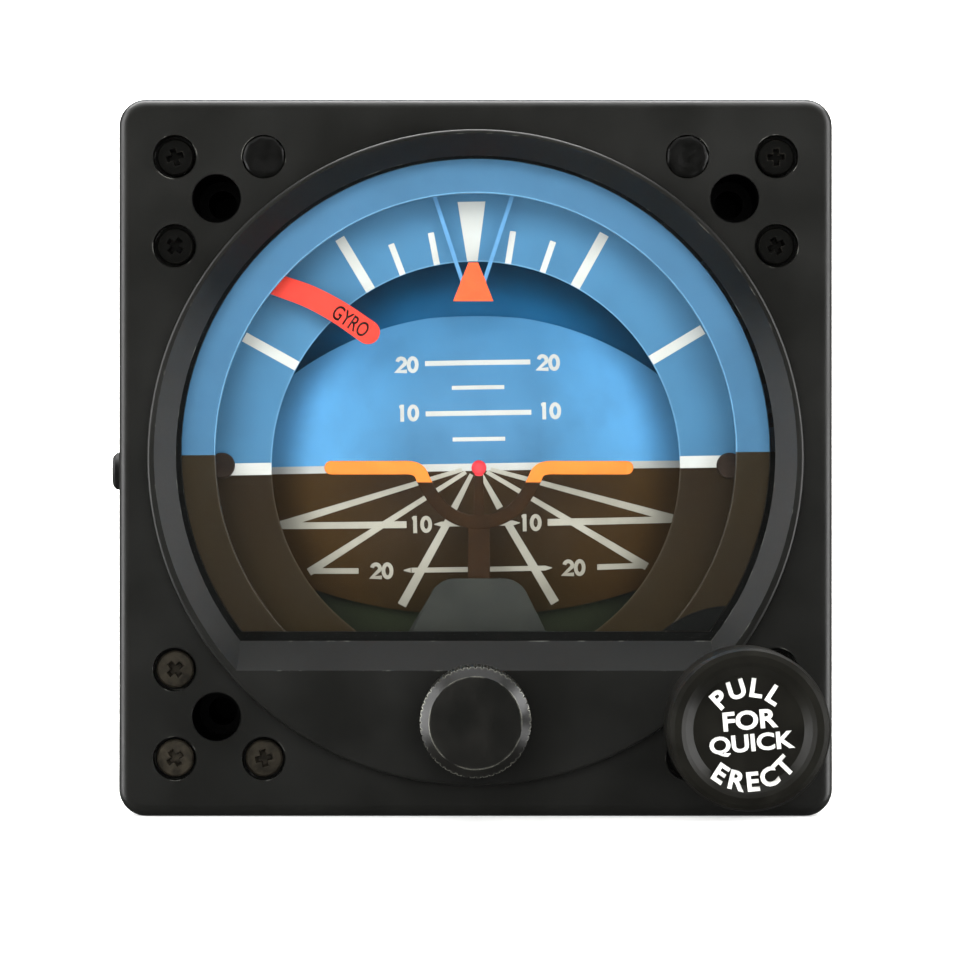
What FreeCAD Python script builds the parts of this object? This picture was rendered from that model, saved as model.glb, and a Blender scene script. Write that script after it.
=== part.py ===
"""Panel-mounted electric attitude indicator, 3 1/8 inch size, as a FreeCAD 1.1 document.

Millimetres. The origin is the centre of the bezel flange, on its front face. +X is to the
viewer's right, +Z is up and the dial looks along -Y, so depth into the panel is +Y.
"""
import FreeCAD, Part
import Sketcher
import math
import os
import re

SIZES = (
    # bezel
    ("flange_width", 86.8), ("flange_height", 87.2), ("flange_corner", 3.3),
    ("flange_thick", 10.0), ("flange_round", 1.5),
    ("boss_radius", 39.65), ("boss_rise", 2.4), ("boss_round", 0.45),
    ("cone_radius", 38.8), ("window_radius", 36.5), ("window_high", 0.3),
    ("chin_high", 22.3), ("chin_slope", 3.4),
    ("bolt_spacing", 62.87), ("bolt_hole_radius", 2.9),
    ("screw_far_x", 36.5), ("screw_far_z", 36.5), ("screw_near_x", 25.7), ("screw_near_z", 25.7),
    ("head_radius", 2.25), ("head_tall", 1.8), ("head_gap", 0.4), ("counterbore_deep", 2.2),
    ("thread_radius", 1.25), ("thread_gap", 0.05),
    ("seal_dome", 0.25),
    # glass, gasket, mask
    ("glass_set_back", 1.5), ("glass_thick", 2.5), ("glass_radius", 38.9), ("glass_flat", 23.7),
    ("seat_gap", 0.1), ("gasket_thick", 0.8), ("gasket_hole_radius", 36.1), ("gasket_hole_flat", 21.3),
    ("gasket_hole_high", 0.6),
    ("mask_thick", 1.0), ("mask_hole_radius", 32.0), ("mask_high", 0.55), ("mask_radius", 39.2),
    ("spacer_wall", 1.0), ("cage_disc_radius", 13.3), ("cage_disc_thick", 0.55),
    # case
    ("case_radius", 41.0), ("case_wall", 1.6), ("case_long", 128.0), ("case_flange_half", 42.0),
    ("case_flange_thick", 4.0), ("case_flange_corner", 5.0), ("lip_radius", 38.3), ("lip_deep", 2.0),
    ("nut_boss_radius", 4.4), ("nut_boss_long", 8.0), ("bolt_thread_radius", 1.75),
    ("lobe_radius", 6.4), ("lobe_bore_radius", 4.4), ("lobe_end", 121.0),
    ("rear_ring_deep", 7.0), ("rear_ring_wall", 6.0), ("shoulder_wall", 5.0), ("shoulder_thick", 3.0),
    ("plug_radius", 2.35), ("plug_along", 19.0), ("plug_drop", 1.6), ("plug_reach", 5.0),
    ("cover_thick", 3.0), ("cover_spigot", 2.0), ("cover_screw_inset", 3.1), ("cover_screw_long", 9.0),
    # roll gimbal and its bearings
    ("axis_drop", 0.9), ("card_front", 12.5), ("card_thick", 0.8), ("card_hole_radius", 25.5),
    ("card_gap", 1.4), ("skirt_deep", 6.0), ("skirt_flare", 1.2), ("skirt_wall", 0.8),
    ("card_screw_out", 31.7), ("card_screw_radius", 1.6), ("card_screw_tall", 0.7),
    ("slot_wide", 0.5), ("slot_deep", 0.35),
    ("arm_inner", 31.2), ("arm_thick", 4.0), ("arm_high", 14.0), ("tab_reach", 1.9), ("tab_thick", 3.0),
    ("bridge_front", 92.0), ("bridge_thick", 4.0), ("bridge_hub_radius", 15.0),
    ("shaft_radius", 3.0), ("shaft_tail", 2.5), ("shaft_flange_radius", 5.2), ("shaft_flange_thick", 1.6),
    ("tube_start", 98.0), ("tube_radius", 9.0), ("partition_front", 118.0), ("partition_thick", 3.0),
    ("roll_race_outer", 6.5), ("roll_race_wide", 4.5), ("race_wall", 1.2), ("rear_bearing_front", 113.0),
    ("tube_rib", 0.9), ("cam_tall", 4.5), ("cam_inner", 9.6), ("cam_outer", 14.0), ("cam_low", 2.0),
    ("nut_radius", 4.8), ("nut_thick", 2.4), ("slip_sleeve_radius", 5.2), ("slip_ring_radius", 6.0),
    ("slip_ring_wide", 1.0), ("slip_ring_pitch", 1.7), ("slip_start", 122.6),
    # pitch gimbal and drum
    ("pitch_depth", 52.0), ("drum_radius", 38.0), ("drum_wall", 1.2), ("drum_half", 30.0),
    ("drum_web", 1.4), ("drum_span", 60.0), ("drum_step", 1.6), ("skirt_span", 150.0),
    ("drum_seat", 0.9), ("crown_clear", 1.0), ("drum_crown", 19.2),
    ("drum_crown_round", 40.7), ("drum_hub_radius", 8.0), ("trunnion_radius", 3.1),
    ("pivot_radius", 1.5), ("pivot_reach", 34.6), ("pitch_race_outer", 4.0), ("pitch_race_wide", 2.6),
    ("pitch_race_in", 0.5), ("race_gap", 0.1),
    ("ring_outer", 21.0), ("ring_inner", 19.0), ("ring_high", 7.0),
    ("shell_radius", 18.8), ("shell_wall", 1.4), ("shell_high", 18.5), ("shell_flange_thick", 1.5),
    ("bearing_boss_wall", 1.6), ("bearing_boss_deep", 3.6),
    ("rotor_radius", 15.5), ("rotor_high", 18.0), ("rotor_rim", 4.0), ("rotor_web", 3.0),
    ("rotor_shaft_radius", 1.5), ("rotor_race_outer", 3.0), ("rotor_race_high", 3.4),
    ("stator_radius", 10.8), ("stator_high", 13.0), ("stator_bore", 2.3), ("post_inner", 4.9),
    ("post_wall", 1.7),
    ("erector_radius", 13.0), ("erector_deep", 4.5), ("erector_wall", 1.0), ("erector_ball", 1.55),
    # aeroplane symbol and its lift
    ("symbol_gap", 1.4), ("symbol_thick", 0.8), ("symbol_side", 0.4), ("symbol_drop", 1.2),
    ("wing_half", 19.1), ("wing_high", 1.7), ("loop_outer", 7.5), ("loop_wide", 1.6), ("post_wide", 1.2),
    ("dot_radius", 0.9), ("stem_wide", 2.8), ("carrier_thick", 1.0), ("carrier_top", 16.9),
    ("carrier_top_half", 5.6), ("carrier_wide_half", 8.4), ("carrier_wide_low", 21.6), ("stem_foot", 19.6),
    ("leg_half", 7.2), ("leg_low", 34.6), ("leg_top", 23.2), ("fork_top", 25.4), ("fork_side", 4.2),
    ("knob_drop", 31.45), ("gear_pitch_radius", 3.0), ("gear_addendum", 0.5), ("gear_root", 0.62),
    ("rack_addendum", 0.35), ("tooth_play", 0.06), ("guide_gap", 0.1), ("guide_wall", 2.4),
    ("guide_plate", 0.8), ("guide_high", 9.5),
    ("knob_radius", 6.6), ("knob_front", 10.4), ("knob_chamfer", 1.1), ("knob_gap", 0.6),
    ("knurl_deep", 0.22), ("adjust_shaft_radius", 1.45), ("bushing_wall", 1.5), ("running_gap", 0.05),
    # pull knob and caging yoke
    ("pull_radius", 9.4), ("pull_front", 22.0), ("pull_deep", 9.0), ("pull_hub_radius", 3.9),
    ("pull_rim", 2.1), ("pull_dish", 1.3), ("pull_gap", 0.5), ("rod_radius", 2.0), ("pull_travel", 8.0),
    ("pull_bushing_radius", 3.2), ("bushing_collar", 4.2), ("bushing_collar_thick", 0.8),
    ("collar_radius", 3.8), ("collar_thick", 1.2), ("spring_long", 20.0), ("spring_wire", 0.35),
    ("spring_radius", 3.1), ("spring_turns", 5.0), ("yoke_front", 110.0), ("yoke_thick", 3.0),
    ("yoke_gap", 0.3), ("yoke_ring_wall", 4.0), ("yoke_arm_wide", 4.0), ("yoke_slot_gap", 0.5),
    ("rod_tail", 1.5),
    # warning flag
    ("flag_pivot_x", 27.2), ("flag_pivot_z", 22.3), ("flag_front", 8.1), ("flag_thick", 0.5),
    ("flag_long", 15.5), ("flag_wide", 2.3), ("flag_hub_radius", 1.8), ("flag_tilt", 25.6),
    ("flag_pin_radius", 0.6), ("coil_radius", 2.6), ("coil_tall", 1.9),
    # bank pointer
    ("index_front", 9.5), ("index_thick", 0.5), ("index_side", 0.3), ("index_tip", 24.3),
    ("index_base", 19.5), ("index_tip_half", 0.6), ("index_base_half", 2.5), ("strut_wide", 0.5),
    ("strut_low", 21.3), ("strut_top_half", 6.4), ("foot_low", 36.2), ("foot_high", 37.4), ("foot_half", 7.0),
    # electrical parts
    ("connector_radius", 8.6), ("connector_wall", 1.1), ("connector_flange", 12.0),
    ("connector_flange_thick", 1.5), ("connector_long", 10.0), ("connector_high", 12.0),
    ("pin_radius", 0.6), ("pin_ring", 4.2), ("insert_inside", 1.5), ("insert_short", 8.0),
    ("board_half", 20.0), ("board_low", 10.0), ("board_high", 30.0), ("board_thick", 1.6),
    ("standoff_long", 4.0), ("standoff_radius", 1.8), ("standoff_inset", 3.0),
    ("capacitor_radius", 3.2), ("capacitor_tall", 6.0), ("transformer_side", 9.0), ("transformer_tall", 7.0),
    ("block_near", 8.0), ("block_far", 15.0), ("block_half", 4.5), ("brush_radius", 0.25),
    ("brush_gap", 0.3),
)

COVER_SCREW_COUNT = 6
KNURL_COUNT = 52
GEAR_TOOTH_COUNT = 12
PRESSURE_ANGLE = math.radians(20)
SLIP_RING_COUNT = 5
ROLL_BALL_COUNT = 7
ERECTOR_BALL_COUNT = 3
CONNECTOR_PIN_COUNT = 5
SPRING_SIDE_COUNT = 4

doc = FreeCAD.newDocument("attitude_indicator")
sheet = doc.addObject("Spreadsheet::Sheet", "sizes")
NAMES = set()
for row, (alias, number) in enumerate(SIZES, start=1):
    sheet.set(f"A{row}", alias)
    sheet.set(f"B{row}", str(number))
    sheet.setAlias(f"B{row}", alias)
    NAMES.add(alias)
doc.recompute()

# Depths that several pieces share, measured back from the flange face.
GLASS_FRONT = "glass_set_back"
GLASS_BACK = "(glass_set_back + glass_thick)"
MASK_FRONT = "(glass_set_back + glass_thick + gasket_thick)"
MASK_BACK = "(glass_set_back + glass_thick + gasket_thick + mask_thick)"
SYMBOL_FRONT = f"({MASK_BACK} + symbol_gap)"
CARRIER_FRONT = f"({MASK_BACK} + symbol_gap + symbol_thick)"
CARRIER_BACK = f"({CARRIER_FRONT} + carrier_thick)"
CASE_FRONT = "flange_thick"
CASE_BACK = "(flange_thick + case_long)"
CASE_BORE = "(case_radius - case_wall)"
CARD_RADIUS = f"({CASE_BORE} - card_gap)"
CARD_BACK = "(card_front + card_thick)"
BRIDGE_BACK = "(bridge_front + bridge_thick)"
PARTITION_BACK = "(partition_front + partition_thick)"
BOLT = "(bolt_spacing / 2)"

NODES = []


def formula(text):
    """The text with each size written as the sheet's cell of that name."""
    return re.sub(r"[a-z][a-z0-9_]*", lambda word: "sizes." + word.group() if word.group() in NAMES
                  else word.group(), text)


def size(text):
    """The number that a formula gives now."""
    answer = sheet.evalExpression(formula(text))
    return float(getattr(answer, "Value", answer))


def bind(thing, place, text):
    thing.setExpression(place, formula(text))


def put(thing, at):
    for axis, text in zip("xyz", at):
        if text != "0":
            bind(thing, f"Placement.Base.{axis}", text)


def add_node(thing, label):
    thing.Label = label
    NODES.append(thing)
    return thing


def new_body(name, at=("0", "0", "0")):
    part = doc.addObject("PartDesign::Body", name)
    put(part, at)
    return part


def sketch(part, plane, shift="0"):
    """A sketch on one of the body's own planes: front is XZ, side is YZ and top is XY."""
    role = {"front": "XZ_Plane", "side": "YZ_Plane", "top": "XY_Plane"}[plane]
    flat = [item for item in part.Origin.OriginFeatures if item.Role == role][0]
    drawing = part.newObject("Sketcher::SketchObject", part.Name + "_sketch")
    drawing.AttachmentSupport = [(flat, "")]
    drawing.MapMode = "FlatFace"
    if shift != "0":
        bind(drawing, "AttachmentOffset.Base.z", f"-({shift})" if plane == "front" else shift)
    return drawing


def pin_point(drawing, edge, end, across, up):
    """Fix one end of an edge at a place worked out from the sheet."""
    for kind, text, line in (("DistanceX", across, -2), ("DistanceY", up, -1)):
        if text == "0":
            drawing.addConstraint(Sketcher.Constraint("PointOnObject", edge, end, line))
        else:
            number = drawing.addConstraint(Sketcher.Constraint(kind, -1, 1, edge, end, size(text)))
            bind(drawing, f"Constraints[{number}]", text)


def polygon(drawing, points):
    first = drawing.GeometryCount
    spots = [FreeCAD.Vector(size(across), size(up), 0) for across, up in points]
    for number, spot in enumerate(spots):
        after = spots[(number + 1) % len(spots)]
        drawing.addGeometry(Part.LineSegment(spot, after), False)
    for number, (across, up) in enumerate(points):
        edge = first + number
        after = first + (number + 1) % len(points)
        drawing.addConstraint(Sketcher.Constraint("Coincident", edge, 2, after, 1))
        pin_point(drawing, edge, 1, across, up)


def rectangle(drawing, left, low, right, high):
    polygon(drawing, [(left, low), (right, low), (right, high), (left, high)])


def circle(drawing, across, up, radius):
    spot = FreeCAD.Vector(size(across), size(up), 0)
    edge = drawing.addGeometry(Part.Circle(spot, FreeCAD.Vector(0, 0, 1), size(radius)), False)
    pin_point(drawing, edge, 3, across, up)
    number = drawing.addConstraint(Sketcher.Constraint("Radius", edge, size(radius)))
    bind(drawing, f"Constraints[{number}]", radius)


def flat_circle(drawing, radius, flat, high="0"):
    """A circle, its centre this high, with its bottom cut off straight, flat below the origin."""
    reach = size(radius)
    start = -math.asin((size(flat) + size(high)) / reach)
    round_part = Part.Circle(FreeCAD.Vector(0, size(high), 0), FreeCAD.Vector(0, 0, 1), reach)
    arc = drawing.addGeometry(Part.ArcOfCircle(round_part, start, math.pi - start), False)
    half = reach * math.cos(start)
    left = FreeCAD.Vector(-half, -size(flat), 0)
    right = FreeCAD.Vector(half, -size(flat), 0)
    chord = drawing.addGeometry(Part.LineSegment(left, right), False)
    pin_point(drawing, arc, 3, "0", high)
    drawing.addConstraint(Sketcher.Constraint("Coincident", arc, 2, chord, 1))
    drawing.addConstraint(Sketcher.Constraint("Coincident", chord, 2, arc, 1))
    drawing.addConstraint(Sketcher.Constraint("Horizontal", chord))
    number = drawing.addConstraint(Sketcher.Constraint("Radius", arc, reach))
    bind(drawing, f"Constraints[{number}]", radius)
    number = drawing.addConstraint(Sketcher.Constraint("DistanceY", -1, 1, chord, 1, -size(flat)))
    bind(drawing, f"Constraints[{number}]", f"-({flat})")


def pad(part, drawing, length, middle=False, forward=False):
    """Add material: from a front sketch backwards along +Y unless forward is set."""
    feature = part.newObject("PartDesign::Pad", part.Name + "_pad")
    feature.Profile = drawing
    bind(feature, "Length", length)
    if middle:
        feature.SideType = "Symmetric"
    elif drawing.AttachmentSupport[0][0].Role == "XZ_Plane" and not forward:
        feature.Reversed = True
    return feature


def pocket(part, drawing, length, middle=False):
    """Cut away from a front sketch backwards along +Y."""
    feature = part.newObject("PartDesign::Pocket", part.Name + "_pocket")
    feature.Profile = drawing
    bind(feature, "Length", length)
    if middle:
        feature.SideType = "Symmetric"
    return feature


def spin(part, axis, points, cut=False):
    """Turn a closed outline of (distance along the axis, radius) points about x, y or z."""
    drawing = sketch(part, {"x": "front", "y": "side", "z": "front"}[axis])
    polygon(drawing, [point[::-1] for point in points] if axis == "z" else points)
    kind = "PartDesign::Groove" if cut else "PartDesign::Revolution"
    feature = part.newObject(kind, part.Name + "_turn")
    feature.Profile = drawing
    feature.ReferenceAxis = (drawing, ["V_Axis" if axis == "z" else "H_Axis"])
    feature.Angle = 360
    return feature


def turned(name, axis, points, at=("0", "0", "0")):
    part = new_body(name, at)
    spin(part, axis, points)
    return part


def ball(name, radius, at):
    """A small bearing ball, turned with one band round its middle and a cap at each end."""
    steps = [(math.cos(math.radians(turn)), math.sin(math.radians(turn))) for turn in (180, 125, 55, 0)]
    return turned(name, "x", [(f"{radius} * ({across:.6f})", f"{radius} * {up:.6f}" if up > 1e-9 else "0")
                              for across, up in steps], at)


def ring(start, end, inner, outer):
    return [(start, inner), (start, outer), (end, outer), (end, inner)]


def edges_where(feature, test):
    doc.recompute()
    return [f"Edge{number}" for number, edge in enumerate(feature.Shape.Edges, start=1) if test(edge)]


def dress(part, kind, feature, names, amount):
    """A Fillet or Chamfer on the named edges of a feature."""
    finish = part.newObject(f"PartDesign::{kind}", part.Name + "_" + kind.lower())
    finish.Base = (feature, names)
    bind(finish, "Radius" if kind == "Fillet" else "Size", amount)
    return finish


def combine(kind, name, base, tool):
    result = doc.addObject(f"Part::{kind}", name)
    result.Base = base
    result.Tool = tool
    return result


def group(label, parts):
    together = doc.addObject("Part::Compound", label)
    together.Links = parts
    return add_node(together, label)


def along_y(edge):
    """True for a straight edge that runs along the depth axis."""
    if len(edge.Vertexes) != 2 or edge.Curve.TypeId != "Part::GeomLine":
        return False
    return abs(abs(edge.Curve.Direction.y) - 1) < 1e-6


# ---------------------------------------------------------------- bezel, glass and mask

def screw_places():
    """The twelve bezel screws, three round each mounting hole."""
    places = []
    for x_sign in ("", "-"):
        for z_sign in ("", "-"):
            for across, up in (("screw_far_x", "screw_far_z"), ("screw_far_x", "screw_near_z"),
                               ("screw_near_x", "screw_far_z")):
                places.append((x_sign + across, z_sign + up))
    return places


def hole_places():
    """The three open mounting holes; the fourth corner carries the pull rod."""
    return [("-" + BOLT, BOLT), (BOLT, BOLT), ("-" + BOLT, "-" + BOLT)]


def make_bezel():
    """Die-cast bezel: square flange, round register boss and a window with a flat chin."""
    base = new_body("bezel_casting")
    outline = sketch(base, "front")
    rectangle(outline, "-flange_width / 2", "-flange_height / 2", "flange_width / 2", "flange_height / 2")
    plate = pad(base, outline, "flange_thick")
    corners = dress(base, "Fillet", plate, edges_where(plate, along_y), "flange_corner")
    rim = edges_where(corners, lambda edge: edge.BoundBox.YMax < 1e-6)
    softened = dress(base, "Fillet", corners, rim, "flange_round")
    softened.Refine = True
    register = sketch(base, "front", "-boss_rise")
    circle(register, "0", "0", "boss_radius")
    boss = pad(base, register, "boss_rise + flange_round")
    lip = edges_where(boss, lambda edge: edge.BoundBox.YMax < 1e-6 - size("boss_rise"))
    dress(base, "Fillet", boss, lip, "boss_round")
    seat = sketch(base, "front", GLASS_FRONT)
    flat_circle(seat, "glass_radius + seat_gap", "glass_flat + seat_gap")
    pocket(base, seat, "flange_thick - " + GLASS_FRONT)
    bore = sketch(base, "front", MASK_FRONT)
    circle(bore, "0", "0", "mask_radius + seat_gap")
    pocket(base, bore, "flange_thick - " + MASK_FRONT)
    for across, up in hole_places():
        drawing = sketch(base, "front")
        circle(drawing, across, up, "bolt_hole_radius")
        pocket(base, drawing, "flange_thick")
    heads = sketch(base, "front")
    threads = sketch(base, "front")
    for across, up in screw_places():
        circle(heads, across, up, "head_radius + head_gap")
        circle(threads, across, up, "thread_radius + thread_gap")
    pocket(base, heads, "counterbore_deep")
    pocket(base, threads, "flange_thick")
    bearings = sketch(base, "front", "-boss_rise")
    circle(bearings, BOLT, "-" + BOLT, "pull_bushing_radius")
    circle(bearings, "0", "-knob_drop", "adjust_shaft_radius + running_gap + bushing_wall")
    pocket(base, bearings, "boss_rise + flange_thick")

    cone = turned("window_cone", "y", [("-boss_rise", "0"), ("-boss_rise", "cone_radius"),
                                       (GLASS_FRONT, "window_radius"), (GLASS_FRONT, "0")],
                  ("0", "0", "window_high"))
    above = new_body("above_chin")
    profile = sketch(above, "side")
    polygon(profile, [("-boss_rise", "-chin_high - chin_slope"), (GLASS_FRONT, "-chin_high"),
                      (GLASS_FRONT, "flange_height / 2"), ("-boss_rise", "flange_height / 2")])
    pad(above, profile, "flange_width", middle=True)
    window = combine("Common", "window_space", cone, above)
    add_node(combine("Cut", "front_bezel", base, window), "front_bezel")


def fillister_screw(name, across, up, front, length):
    """A fillister-head screw, its head against a shoulder."""
    part = new_body(name, (across, "0", up))
    spin(part, "y", [(front, "0"), (front, "head_radius - 0.3"), (front + " + 0.3", "head_radius"),
                     (front + " + head_tall", "head_radius"), (front + " + head_tall", "thread_radius"),
                     (front + " + head_tall + " + length, "thread_radius"),
                     (front + " + head_tall + " + length, "0")])
    return part


def make_bezel_screws():
    front = "counterbore_deep - head_tall"
    reach = "flange_thick + case_flange_thick - counterbore_deep"
    screws = [fillister_screw(f"bezel_screw_{number}", across, up, front, reach)
              for number, (across, up) in enumerate(screw_places(), start=1)]
    group("bezel_screws", screws)


def make_screw_seals():
    """Compound that fills the counterbore over one screw in each upper corner."""
    seals = []
    for number, sign in enumerate(("-", "")):
        seals.append(turned(f"seal_{number}", "y", [
            ("-seal_dome", "0"), ("-seal_dome", "head_radius / 2"), ("0", "head_radius + head_gap"),
            ("counterbore_deep - head_tall", "head_radius + head_gap"),
            ("counterbore_deep - head_tall", "0")], (sign + "screw_near_x", "0", "screw_far_z")))
    group("screw_seals", seals)


def make_window():
    glass = new_body("window_glass")
    outline = sketch(glass, "front", GLASS_FRONT)
    flat_circle(outline, "glass_radius", "glass_flat")
    pad(glass, outline, "glass_thick")
    add_node(glass, "window_glass")

    gasket = new_body("glass_gasket")
    outline = sketch(gasket, "front", GLASS_BACK)
    flat_circle(outline, "glass_radius", "glass_flat")
    pad(gasket, outline, "gasket_thick")
    opening = sketch(gasket, "front", GLASS_BACK)
    flat_circle(opening, "gasket_hole_radius", "gasket_hole_flat", "gasket_hole_high")
    pocket(gasket, opening, "gasket_thick")
    add_node(gasket, "glass_gasket")


def make_mask():
    """Painted dial mask with a notch for the adjusting shaft, and the ring behind it."""
    mask = new_body("dial_mask")
    outline = sketch(mask, "front", MASK_FRONT)
    circle(outline, "0", "0", "mask_radius")
    circle(outline, "0", "mask_high", "mask_hole_radius")
    pad(mask, outline, "mask_thick")
    notch = sketch(mask, "front", MASK_FRONT)
    circle(notch, "0", "-knob_drop", "adjust_shaft_radius + bushing_wall")
    pocket(mask, notch, "mask_thick")
    add_node(mask, "dial_mask")
    spacer = turned("mask_spacer", "y",
                    ring(MASK_BACK, CASE_FRONT, "mask_radius - spacer_wall", "mask_radius"))
    add_node(spacer, "mask_spacer")

    disc = new_body("cage_disc")
    outline = sketch(disc, "front", f"{MASK_FRONT} - cage_disc_thick")
    circle(outline, BOLT, "-" + BOLT, "cage_disc_radius")
    pad(disc, outline, "cage_disc_thick")
    limit = new_body("cage_disc_limit")
    outline = sketch(limit, "front", f"{MASK_FRONT} - cage_disc_thick")
    flat_circle(outline, "gasket_hole_radius - seat_gap", "gasket_hole_flat - seat_gap", "gasket_hole_high")
    pad(limit, outline, "cage_disc_thick")
    add_node(combine("Common", "cage_housing_plate", disc, limit), "cage_housing_plate")


def make_bank_pointer():
    """Fixed bank pointer: a wedge held by two splayed struts from a foot at the top."""
    part = new_body("bank_pointer", ("-index_side", "0", "0"))
    wedge = sketch(part, "front", "index_front")
    polygon(wedge, [("-index_base_half", "index_base"), ("index_base_half", "index_base"),
                    ("index_tip_half", "index_tip"), ("-index_tip_half", "index_tip")])
    pad(part, wedge, "index_thick")
    for sign in ("", "-"):
        strut = sketch(part, "front", "index_front")
        low = "strut_low - 0.3"
        polygon(strut, [(f"{sign}(index_tip_half + 0.2)", low),
                        (f"{sign}(index_tip_half + 0.2 + strut_wide)", low),
                        (f"{sign}strut_top_half", "foot_low + 0.4"),
                        (f"{sign}(strut_top_half - strut_wide)", "foot_low + 0.4")])
        pad(part, strut, "index_thick")
    foot = sketch(part, "front", "index_front")
    rectangle(foot, "-foot_half", "foot_low", "foot_half", "foot_high")
    pad(part, foot, "index_thick")
    add_node(part, "bank_pointer")


# ---------------------------------------------------------------- case and rear

def make_case():
    """Drawn case barrel with its front flange, rear ring and the tube over the pull rod."""
    part = new_body("case_body")
    outline = sketch(part, "front", CASE_FRONT)
    half = "case_flange_half"
    rectangle(outline, "-" + half, "-" + half, half, half)
    plate = pad(part, outline, "case_flange_thick")
    dress(part, "Fillet", plate, edges_where(plate, along_y), "case_flange_corner")
    tube = sketch(part, "front", f"{CASE_FRONT} + case_flange_thick")
    circle(tube, BOLT, "-" + BOLT, "lobe_radius")
    pad(part, tube, "lobe_end - flange_thick - case_flange_thick")
    bosses = sketch(part, "front", f"{CASE_FRONT} + case_flange_thick")
    for across, up in hole_places():
        circle(bosses, across, up, "nut_boss_radius")
    pad(part, bosses, "nut_boss_long")
    clear = sketch(part, "front", CASE_FRONT)
    circle(clear, "0", "0", "case_radius - case_wall / 2")
    pocket(part, clear, "case_long")
    shoulder = f"({PARTITION_BACK} + shoulder_thick)"
    rear = f"({CASE_BACK} - rear_ring_deep)"
    spin(part, "y", [(CASE_FRONT, "case_radius"), (CASE_FRONT, "lip_radius"),
                     (f"{CASE_FRONT} + lip_deep", "lip_radius"), (f"{CASE_FRONT} + lip_deep", CASE_BORE),
                     (PARTITION_BACK, CASE_BORE), (PARTITION_BACK, f"{CASE_BORE} - shoulder_wall"),
                     (shoulder, f"{CASE_BORE} - shoulder_wall"), (shoulder, CASE_BORE), (rear, CASE_BORE),
                     (rear, "case_radius - rear_ring_wall"), (CASE_BACK, "case_radius - rear_ring_wall"),
                     (CASE_BACK, "case_radius")])
    bore = sketch(part, "front", CASE_FRONT)
    circle(bore, BOLT, "-" + BOLT, "pull_bushing_radius")
    pocket(part, bore, "case_flange_thick")
    bore = sketch(part, "front", f"{CASE_FRONT} + case_flange_thick")
    circle(bore, BOLT, "-" + BOLT, "lobe_bore_radius")
    pocket(part, bore, "lobe_end - flange_thick - case_flange_thick - case_wall")
    threads = sketch(part, "front", CASE_FRONT)
    for across, up in hole_places():
        circle(threads, across, up, "bolt_thread_radius")
    pocket(part, threads, "case_flange_thick + nut_boss_long - case_wall")
    holes = sketch(part, "front", CASE_FRONT)
    for across, up in screw_places():
        circle(holes, across, up, "thread_radius + thread_gap")
    pocket(part, holes, "case_flange_thick")
    slot = sketch(part, "front", "yoke_front - pull_travel - yoke_slot_gap")
    yoke_arm(slot, "yoke_slot_gap", "case_radius - rear_ring_wall")
    pocket(part, slot, "pull_travel + yoke_thick + 2 * yoke_slot_gap")
    plug_hole = sketch(part, "side", "-case_radius - 1")
    circle(plug_hole, "plug_along", "-plug_drop", "plug_radius / 2 + thread_gap")
    drilled = pocket(part, plug_hole, "case_wall + 2")
    drilled.Reversed = True
    screws = sketch(part, "front", f"{CASE_BACK} - rear_ring_deep")
    for across, up in cover_screw_places():
        circle(screws, across, up, "thread_radius + thread_gap")
    pocket(part, screws, "rear_ring_deep")
    add_node(part, "case_body")

    plug = turned("side_plug", "x", [
        ("-case_radius + case_wall", "0"), ("-case_radius + case_wall", "plug_radius / 2"),
        ("-case_radius", "plug_radius / 2"), ("-case_radius", "plug_radius"),
        ("-case_radius - plug_reach + 0.4", "plug_radius"), ("-case_radius - plug_reach", "plug_radius - 0.4"),
        ("-case_radius - plug_reach", "0")], ("0", "plug_along", "-plug_drop"))
    add_node(plug, "side_plug")


def cover_screw_places():
    """Evenly spaced round the rear cover, as formulas of the screw circle's radius."""
    turns = [math.radians(360 * number / COVER_SCREW_COUNT) for number in range(COVER_SCREW_COUNT)]
    reach = "(case_radius - cover_screw_inset)"
    return [(f"{reach} * ({math.cos(turn):.6f})", f"{reach} * ({math.sin(turn):.6f})")
            for turn in turns]


def make_rear_cover():
    cover = turned("rear_cover", "y", [
        (f"{CASE_BACK} - cover_spigot", "0"),
        (f"{CASE_BACK} - cover_spigot", "case_radius - rear_ring_wall - seat_gap"),
        (CASE_BACK, "case_radius - rear_ring_wall - seat_gap"), (CASE_BACK, "case_radius"),
        (f"{CASE_BACK} + cover_thick - 0.6", "case_radius"), (f"{CASE_BACK} + cover_thick", "case_radius - 0.6"),
        (f"{CASE_BACK} + cover_thick", "0")])
    holes = sketch(cover, "front", f"{CASE_BACK} - cover_spigot")
    circle(holes, "0", "connector_high", "connector_radius - connector_wall")
    for across, up in cover_screw_places():
        circle(holes, across, up, "thread_radius + thread_gap")
    pocket(cover, holes, "cover_spigot + cover_thick")
    add_node(cover, "rear_cover")

    screws = []
    face = f"({CASE_BACK} + cover_thick)"
    for number, (across, up) in enumerate(cover_screw_places()):
        screw = turned(f"cover_screw_{number}", "y", [
            (f"{face} - cover_screw_long", "0"), (f"{face} - cover_screw_long", "thread_radius"),
            (face, "thread_radius"), (face, "head_radius"), (f"{face} + head_tall * 0.6", "head_radius"),
            (f"{face} + head_tall", "head_radius * 0.6"), (f"{face} + head_tall", "0")], (across, "0", up))
        kerf = sketch(screw, "front", f"{face} + head_tall - slot_deep * 2")
        rectangle(kerf, "-head_radius", "-slot_wide / 2", "head_radius", "slot_wide / 2")
        pocket(screw, kerf, "slot_deep * 2")
        screws.append(screw)
    group("rear_cover_screws", screws)


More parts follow.
